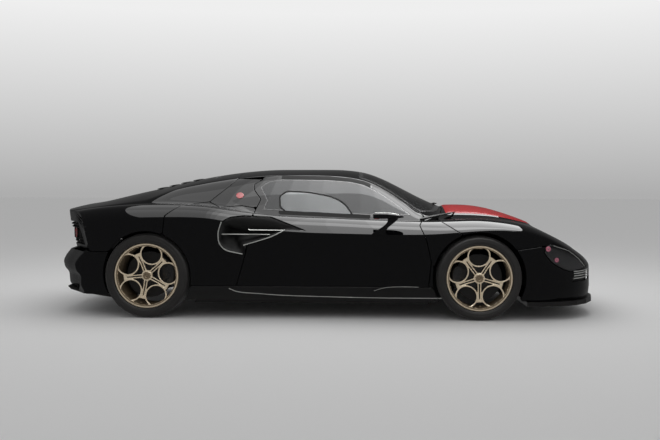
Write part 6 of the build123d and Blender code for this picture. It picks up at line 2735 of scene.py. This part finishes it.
    def disc(self, corner: Corner) -> None:
        """The brake disc: two faces with vanes between, a hat and bolts.

        Args:
            corner: the wheel's place and sizes.
        """
        plates = [lathe(((96, y), (189.5, y), (190, y - 1), (190, y - 9), (189.5, y - 10), (96, y - 10)), 108)
                  for y in (24.0, 0.0)]
        core = lathe(((98, 15), (184, 15), (184, -1), (98, -1)), 48)
        hat = lathe(((30, 35), (88, 35), (91, 32), (92, 24), (97, 20), (97, 10), (92, 6), (86, 6), (86, 26),
                     (30, 26)), 96)
        vanes = [block((-2, -9, 150), (2, 13, 189), 1).moved(spun(a)) for a in range(0, 360, 15)]
        bolts = [block((-6, 33, 70), (6, 40, 82), 3).moved(spun(a)) for a in range(18, 360, 36)]
        name = f"disc_{corner.name}"
        # The core and vanes between the two faces take the sooted finish as painted shade.
        solid = by_finish(plates, [core, *vanes], [hat], bolts)
        self.piece(name, corner.placed(solid),
                   (Finishes.DISC, Finishes.SOOT, Finishes.CALIPER, Finishes.STEEL),
                   f"wheel_{corner.name}", [name], "disc_iron", corner.centre)

    def caliper(self, corner: Corner) -> None:
        """The caliper: a bowed body over the disc's edge, with its pistons' bulges and two bolts.

        Args:
            corner: the wheel's place and sizes.
        """
        half, inner, crown = self.caliper_half, self.caliper_inner, self.caliper_crown
        rings = []
        for angle in np.linspace(-half, half, 26):
            outer = inner + (crown - inner) * (1 - 0.16 * (angle / half) ** 4)
            section = [(inner, 31), (inner + 6, 33), (outer - 30, 50), (outer - 14, 50), (outer - 3, 44),
                       (outer, 36), (outer, -22), (outer - 3, -30), (outer - 14, -36), (outer - 30, -36),
                       (inner + 6, -19), (inner, -17), (inner, -16.5), (196.5, -16.5), (196.5, 30.5),
                       (inner, 30.5)]
            rings.append([corner.around(r, y, angle) for r, y in section])
        out = Vector((0, 1, 0))
        cups = [lathe(((0, -4), (17, -4), (18, 0), (15, 4), (0, 5)), 28, False).moved(
            facing(corner.around(160, 45.5, angle), out)) for angle in (-20, 0, 20)]
        bolts = [lathe(((0, -3), (7, -3), (7, 4), (5, 6), (0, 6)), 16, False).moved(
            facing(corner.around(190, 46, angle), out)) for angle in (-27, 27)]
        solid = by_finish([loft(np.array(rings)), *cups], bolts)
        body = f"carrier_{corner.side.hand}" if corner.front else "body"
        node = f"caliper_{corner.side.hand}" if corner.front else "rear_calipers"
        self.piece(f"caliper_{corner.name}", corner.placed(solid), (Finishes.CALIPER, Finishes.STEEL),
                   body, [node], "caliper_paint")


# ---- Cabin and engine ----
@dataclass
class Cabin(Assembly):
    """The seats, dashboard, console, steering wheel and engine, and the plain structure."""

    seat_centre: float = 365.0
    seat_rows: int = 56
    seat_columns: int = 35
    pad_thickness: float = 34.0
    shell_thickness: float = 9.0
    shell_depth: float = 36.0
    dash_half: float = 690.0
    # Each dial's place from the seat's middle and its radius.
    dials: tuple[tuple[float, float], ...] = ((-82, 38), (0, 52), (82, 38))
    vents: tuple[float, ...] = (-560.0, -300.0, -110.0, 110.0, 590.0)
    wheel_radius: float = 175.0
    wheel_place: tuple[float, float, float] = (330.0, 365.0, 690.0)
    column_tilt: float = 22.0
    # Along the seat's middle line: x, z, half width and bolster height.
    seat_back: Table = (
        (196, 236, 205, 12), (180, 284, 214, 26), (90, 290, 218, 42), (-20, 274, 220, 52),
        (-120, 262, 218, 56), (-190, 268, 214, 60), (-236, 312, 214, 66), (-278, 400, 214, 74),
        (-322, 500, 212, 78), (-366, 600, 205, 72), (-404, 690, 186, 56), (-432, 752, 150, 36),
        (-452, 804, 118, 22), (-466, 842, 104, 14),
    )

    def build(self) -> None:
        """Makes the cabin's pieces and dresses the structure."""
        self.seats()
        self.dashboard()
        self.console()
        self.steering()
        self.engine()
        self.dress("tub", Finishes.STRUCTURE)
        self.dress("floor_tray", Finishes.CARBON)

    def seat_line(self) -> np.ndarray:
        """The seat's middle line with its half widths and bolsters, finely stepped.

        Returns:
            One row for each step.
        """
        table = np.array(self.seat_back, float)
        place = np.concatenate([[0], np.cumsum(np.hypot(*np.diff(table[:, :2], axis=0).T))])
        step = np.linspace(0, place[-1], self.seat_rows)
        return np.stack([hanned(np.interp(step, place, column), 5, odd=True) for column in table.T], 1)

    def seats(self) -> None:
        """Two bucket seats: a shell and a bolstered pad with channels and seams."""
        line = self.seat_line()
        ahead = np.gradient(line[:, :2], axis=0)
        ahead /= np.linalg.norm(ahead, axis=1, keepdims=True)
        normal = np.stack([-ahead[:, 1], ahead[:, 0]], 1)
        normal *= np.where(normal @ np.array([0.6, 0.8]) < 0, -1, 1)[:, None]
        across = np.linspace(-1, 1, self.seat_columns)
        along = np.arange(len(line))
        bolster = line[:, 3:4] * smoothstep((np.abs(across)[None] - 0.46) / 0.5) ** 1.2
        channels = 4.0 * np.abs(np.sin(np.pi * along / 6.0))[:, None] ** 0.6 * (np.abs(across) < 0.5)[None]
        seam = -5.0 * np.exp(-((np.abs(across) - 0.53) / 0.02) ** 2)[None]
        height = bolster + channels + seam
        points = np.stack([
            line[:, 0:1] + normal[:, 0:1] * height,
            across[None] * line[:, 2:3],
            line[:, 1:2] + normal[:, 1:2] * height,
        ], 2)
        sheet = Sheet(points)
        if (sheet.normals[..., [0, 2]] * normal[:, None]).sum() < 0:
            sheet = Sheet(points[:, ::-1])
        u = (1 - np.abs(across))[None] * line[:, 2:3]
        step = np.linalg.norm(np.gradient(line[:, :2], axis=0), axis=1).cumsum()
        ends = np.minimum(step - step[0], step[-1] - step)[:, None]
        outline = np.minimum(u, ends) - 2.0
        red = np.broadcast_to(100.0 - 200.0 * np.abs(across), outline.shape)
        pads, shells = [], []
        for side in Side:
            shift = np.array([0, side.value * self.seat_centre, 0])
            place = Sheet(sheet.points + shift)
            place.normals = sheet.normals
            pads.append(panel(place, [outline, red], self.pad_thickness, 12.0))
            behind = Sheet(place.points - place.normals * self.shell_depth)
            behind.normals = place.normals
            shells.append(panel(behind, [outline + 0.5], self.shell_thickness))
            for rail in (shift[1] - 150, shift[1] + 150):
                shells.append(block((-260, rail - 18, 188), (150, rail + 18, 216), 5))
        pad = self.piece("seat_pads", self.plain_normals(pads), (Finishes.LEATHER, Finishes.RED_LEATHER),
                         "body", ["seats"], "seat_leather")
        self.piece("seat_shells", self.plain_normals(shells), (Finishes.CARBON,), "body", (), "tub_carbon")

    @staticmethod
    def plain_normals(solids: Sequence[Solid]) -> Solid:
        """Joins solids and leaves their shading to the mesh's own edges."""
        whole = joined(solids)
        whole.normals = None
        return whole

    def dashboard(self) -> None:
        """The dashboard: a bowed top, a hood over the dials and the column, with its instruments."""
        rings = []
        for y in np.linspace(-self.dash_half, self.dash_half, 90):
            hood = 34.0 * math.exp(-((y - self.seat_centre) / 150) ** 2)
            side = abs(y) / self.dash_half
            drop = 26 * side**3
            front = 812 - 24 * side**4
            profile = rounded(((front, 540), (front, 800 - drop), (720, 808 - drop), (600, 776 - drop + hood),
                               (545 - 0.3 * hood, 762 - drop + hood), (536, 744 - drop + 0.6 * hood),
                               (560, 706), (572, 640), (604, 556)), 2)
            rings.append([(x, y, z) for x, z in profile])
        column = tube([Vector(self.wheel_place) - self.toward * d for d in (300, 200, 120, 60, 26)],
                      np.array([26, 26, 26, 24, 22.0]), 28)
        self.piece("dashboard", by_finish([loft(np.array(rings))], [column]),
                   (Finishes.LEATHER, Finishes.TRIM), "body", ["dashboard"], "trim_leather")
        self.instruments()

    @property
    def toward(self) -> Vector:
        """The steering column's direction, towards the driver."""
        tilt = math.radians(self.column_tilt)
        return Vector((-math.cos(tilt), 0, math.sin(tilt)))

    def instruments(self) -> None:
        """The dials with their needles and ticks, and the vents with their blades."""
        out = Vector((-1, 0, 0.25))
        faces, needles, ticks = [], [], []
        for offset, r in self.dials:
            turn = facing((548, self.seat_centre + offset, 748), out)
            faces.append(lathe(((0, -6), (r, -6), (r, 2), (r - 3, 4), (r - 5, 0), (0, 0)), 48, False)
                         .moved(turn))
            needle = block((-1.5, 0.4, -4), (1.5, 2.2, r - 10), 0.6)
            needles.append(needle.moved(turn @ Matrix.Rotation(0.8, 4, "Y")))
            tick = block((-0.8, 0.2, r - 12), (0.8, 1.2, r - 6), 0.3)
            ticks += [tick.moved(turn @ spun(angle)) for angle in range(-120, 121, 20)]
        self.piece("dials", by_finish(faces, needles, ticks),
                   (Finishes.DIAL, Finishes.BADGE, Finishes.SILVER), "body")
        rings, blades = [], []
        for y in self.vents:
            turn = facing((563, y, 700), out)
            rings.append(lathe(((26, -10), (34, -10), (34, 2), (31, 5), (28, 4), (26, 0)), 48).moved(turn))
            for k in (-16, -8, 0, 8, 16):
                half = math.sqrt(27**2 - k**2)
                blades.append(block((-half, -9, k - 1), (half, 1, k + 1), 0.9).moved(turn))
        self.piece("vents", by_finish(rings, blades), (Finishes.SILVER, Finishes.TRIM), "body")

    def console(self) -> None:
        """The tunnel: a crowned spine with an armrest and selector buttons."""
        x = np.linspace(-608, 518, 80)
        top = np.interp(x, (-610, -420, -300, -60, 60, 300, 518), (372, 376, 392, 398, 366, 378, 396))
        rings = []
        for px, pz in zip(x, hanned(top, 4)):
            profile = rounded(((-94, 188), (94, 188), (92, 330), (78, pz - 12), (44, pz), (-44, pz),
                               (-78, pz - 12), (-92, 330)), 2)
            rings.append([(px, y, z) for y, z in profile])
        rest = block((-300, -70, 384), (-70, 70, 399.5), 7)
        buttons = [block((px, -16, 362), (px + 32, 16, 378), 4) for px in range(60, 199, 46)]
        self.piece("console", by_finish([loft(np.array(rings))], [rest], buttons),
                   (Finishes.LEATHER, Finishes.RED_LEATHER, Finishes.SILVER), "body", ["console"],
                   "trim_leather")

    def steering(self) -> None:
        """The steering wheel: a flattened leather grip, three spokes, a pad and paddles."""
        radius = self.wheel_radius
        grip = 12.0 + 2.6 * np.abs(np.cos(round_turn(120))) ** 4
        rim = tube(oval(120, (radius, 0, 0), (0, radius, 0)), grip, 18, looped=True)
        spoke = loft(np.array([
            oval(16, (0, 20 - 8 * math.sin(t * math.pi / 2), 0), (0, 0, 5)) + (radius * t, 0, 6 * (t - 1))
            for t in np.linspace(0.16, 0.97, 12)]))
        spokes = [spoke.moved(Matrix.Rotation(math.radians(a), 4, "Z")) for a in (4, 176, 270)]
        pad = lathe(((0, -14), (34, -14), (37, -8), (37, 6), (33, 13), (20, 17), (0, 18)), 48, False)
        pad = pad.moved(Matrix.Rotation(math.radians(90), 4, "X"))
        paddles = [block((x - 16, -44, -17), (x + 16, 52, -13), 2) for x in (-112, 112)]
        across = Vector((0, 1, 0))
        place = placed_axes(across, self.toward.cross(across), self.toward, self.wheel_place)
        self.piece("steering_wheel", by_finish([rim, pad], spokes + paddles).moved(place),
                   (Finishes.LEATHER, Finishes.SILVER), "steering_wheel", ["steering_wheel"],
                   "trim_leather")

    def engine(self) -> None:
        """The engine: a ribbed block, two heads with covers, a plenum with runners, and the gearbox."""
        cast = [block((-1248, -200, 252), (-662, 200, 520), 18),
                block((-1748, -188, 262), (-1250, 188, 470), 26),
                block((-1700, -120, 460), (-1250, 120, 556), 30)]
        cast += [block((x, -214, 262), (x + 14, 214, 500), 4) for x in range(-1220, -680, 60)]
        cast += [block((x, -189.5, 290), (x + 10, 189.5, 450), 3) for x in range(-1720, -1270, 50)]
        covers = []
        intake = [block((-1200, -92, 690), (-700, 92, 758), 30)]
        pipes = []
        for side in Side:
            s = side.value
            low, high = sorted((s * 150, s * 316))
            cast.append(block((-1236, low, 500), (-676, high, 640), 22))
            low, high = sorted((s * 170, s * 300))
            covers.append(block((-1224, low, 632), (-690, high, 700), 26))
            for x in range(-1150, -759, 130):
                runner = ((x, s * 190, 640), (x, s * 170, 700), (x, s * 130, 738), (x, s * 70, 736))
                intake.append(tube(softened_path(runner), 24.0, 18))
                pipe = ((x, s * 312, 560), (x + 6, s * 318, 480), (x + 20, s * 300, 400),
                        (x - 30, s * 280, 330))
                pipes.append(tube(pipe, 16.0, 14))
        self.piece("engine", by_finish(cast, covers, intake, pipes),
                   (Finishes.ALLOY, Finishes.RED_PAINT, Finishes.TRIM, Finishes.EXHAUST), "body",
                   ["engine"], "engine_metal")




# ---- The studio ----
@dataclass(frozen=True)
class Softbox:
    """A lamp that faces down: a wide one lights the scene, another only shows in gloss."""

    name: str
    x: tuple[float, float]
    y: tuple[float, float]
    height: float
    radiance: float
    wide: bool = False


@dataclass(frozen=True)
class Studio:
    """The pale floor, the soft lights and the camera."""

    floor_half: float = 60.0
    floor_shade: float = 0.80
    fill: float = 0.50
    gloss_fill: float = 0.10
    horizon: float = 0.42
    sky: float = 0.86
    softbox: Softbox = Softbox("wide_softbox", (-3.2, 3.4), (-1.4, 2.6), 4.4, 1.1, True)
    gloss_height: float = 4.2
    # Each row's near and far y, and its brightness at the tail and at the nose.
    gloss_rows: tuple[tuple[float, float, float, float], ...] = (
        (-3.7, -1.3, 1.5, 3.6), (-1.3, -0.4, 1.6, 6.5), (-0.4, 2.8, 1.15, 4.2),
    )
    # Each step's rear x and its share of the way from the tail's brightness to the nose's.
    gloss_steps: tuple[tuple[float, float], ...] = (
        (-3.0, 0.0), (-1.05, 0.12), (-0.85, 0.3), (-0.65, 0.5), (-0.45, 0.7), (-0.25, 0.86), (-0.05, 1.0),
        (0.45, 1.2), (0.95, 1.45), (3.3, 0.0),
    )
    lens: float = 45.18
    camera_place: tuple[float, float, float] = (0.3977, -7.6072, 1.0888)
    yaw: float = 0.0484
    pitch: float = 0.0424
    roll: float = 0.0018

    def build(self) -> None:
        """Sets up the floor, the world, the lights and the camera."""
        self.floor()
        self.world()
        self.area(self.softbox)
        for row, (near, far, rear, front) in enumerate(self.gloss_rows):
            for step, ((start, share), (end, _)) in enumerate(zip(self.gloss_steps, self.gloss_steps[1:])):
                radiance = rear + (front - rear) * share
                self.area(Softbox(f"gloss_{row}_{step}", (start, end), (near, far), self.gloss_height,
                                  radiance))
        self.camera()
        bpy.context.scene.view_settings.view_transform = "Standard"

    def floor(self) -> None:
        """Lays the pale floor."""
        mesh = bpy.data.meshes.new("studio_floor")
        half = self.floor_half
        mesh.from_pydata([(-half, -half, 0), (half, -half, 0), (half, half, 0), (-half, half, 0)], [],
                         [(0, 1, 2, 3)])
        floor = bpy.data.objects.new("studio_floor", mesh)
        bpy.context.scene.collection.objects.link(floor)
        material = bpy.data.materials.new("pale_floor")
        material.use_nodes = True
        shader = material.node_tree.nodes["Principled BSDF"]
        shader.inputs["Roughness"].default_value = 0.6
        shader.inputs["Specular IOR Level"].default_value = 0.0
        shader.inputs["Base Color"].default_value = (*(self.floor_shade,) * 3, 1)
        mesh.materials.append(material)
        floor.visible_glossy = False

    def world(self) -> None:
        """Lights the scene evenly, darker in reflections, with a pale backdrop for the camera."""
        world = bpy.data.worlds.new("studio_world")
        bpy.context.scene.world = world
        world.use_nodes = True
        tree = world.node_tree
        nodes, links = tree.nodes, tree.links
        path = nodes.new("ShaderNodeLightPath")
        split = nodes.new("ShaderNodeSeparateXYZ")
        links.new(nodes.new("ShaderNodeTexCoord").outputs["Generated"], split.inputs[0])
        rise = nodes.new("ShaderNodeMapRange")
        for name, value in {"From Min": -0.01, "From Max": 0.20, "To Min": self.horizon,
                            "To Max": self.sky}.items():
            rise.inputs[name].default_value = value
        links.new(split.outputs["Z"], rise.inputs["Value"])
        seen = self.shade(nodes, self.sky)
        links.new(rise.outputs[0], seen.inputs["Strength"])
        fill, gloss = self.shade(nodes, self.fill), self.shade(nodes, self.gloss_fill)
        shiny = self.mixed(tree, path.outputs["Is Glossy Ray"], fill, gloss)
        final = self.mixed(tree, path.outputs["Is Camera Ray"], shiny, seen)
        links.new(final.outputs[0], nodes["World Output"].inputs["Surface"])

    def shade(self, nodes: bpy.types.Nodes, value: float) -> bpy.types.Node:
        """Adds a plain white background.

        Args:
            nodes: the world's nodes.
            value: its strength.

        Returns:
            The background.
        """
        ground = nodes.new("ShaderNodeBackground")
        ground.inputs["Color"].default_value = (1, 1, 1, 1)
        ground.inputs["Strength"].default_value = value
        return ground

    def mixed(self, tree: bpy.types.NodeTree, share: bpy.types.NodeSocket, first: bpy.types.Node,
              second: bpy.types.Node) -> bpy.types.Node:
        """Mixes two backgrounds by a share.

        Args:
            tree: the world's nodes.
            share: the second one's share.
            first: the first background.
            second: the second background.

        Returns:
            The mix.
        """
        mix = tree.nodes.new("ShaderNodeMixShader")
        tree.links.new(share, mix.inputs["Fac"])
        tree.links.new(first.outputs[0], mix.inputs[1])
        tree.links.new(second.outputs[0], mix.inputs[2])
        return mix

    def area(self, box: Softbox) -> None:
        """Hangs a softbox that faces down.

        Args:
            box: the softbox.
        """
        light = bpy.data.lights.new(box.name, "AREA")
        light.shape = "RECTANGLE"
        light.size = box.x[1] - box.x[0]
        light.size_y = box.y[1] - box.y[0]
        light.energy = box.radiance * math.pi * light.size * light.size_y
        lamp = bpy.data.objects.new(box.name, light)
        lamp.location = (sum(box.x) / 2, sum(box.y) / 2, box.height)
        lamp.visible_diffuse = box.wide
        lamp.visible_glossy = not box.wide
        lamp.visible_camera = False
        bpy.context.scene.collection.objects.link(lamp)

    def camera(self) -> None:
        """Stands the camera where the car is seen from."""
        forward = Vector((-math.sin(self.yaw), math.cos(self.yaw), 0))
        right = Vector((math.cos(self.yaw), math.sin(self.yaw), 0))
        up = Vector((0, 0, 1))
        ahead = math.cos(self.pitch) * forward - math.sin(self.pitch) * up
        above = math.cos(self.pitch) * up + math.sin(self.pitch) * forward
        side = math.cos(self.roll) * right + math.sin(self.roll) * above
        above = side.cross(ahead)
        data = bpy.data.cameras.new("camera")
        data.sensor_width = 36.0
        data.lens = self.lens
        data.clip_end = 200
        camera = bpy.data.objects.new("camera", data)
        camera.matrix_world = placed_axes(side, above, -ahead, self.camera_place)
        bpy.context.scene.collection.objects.link(camera)
        bpy.context.scene.camera = camera


# ---- The whole car ----
def plain(box: Sequence[Sequence[float]]) -> list[list[float]]:
    """A box's corners as plain numbers."""
    return [[round(float(v), 6) for v in corner] for corner in box]


def main() -> None:
    """Builds the car sub-assembly by sub-assembly and then the studio."""
    logging.basicConfig(level=logging.INFO, format="%(name)s: %(message)s")
    form, paint = Envelope(), Paintshop(Effects())
    for assembly in (Clamshell, Nose, Doors, Flanks, Tail, Cabin, Running):
        assembly(form, paint).build()
        LOG.info("built %s", assembly.__name__)
    Studio().build()
    bpy.context.view_layer.update()


if __name__ == "__main__":
    main()
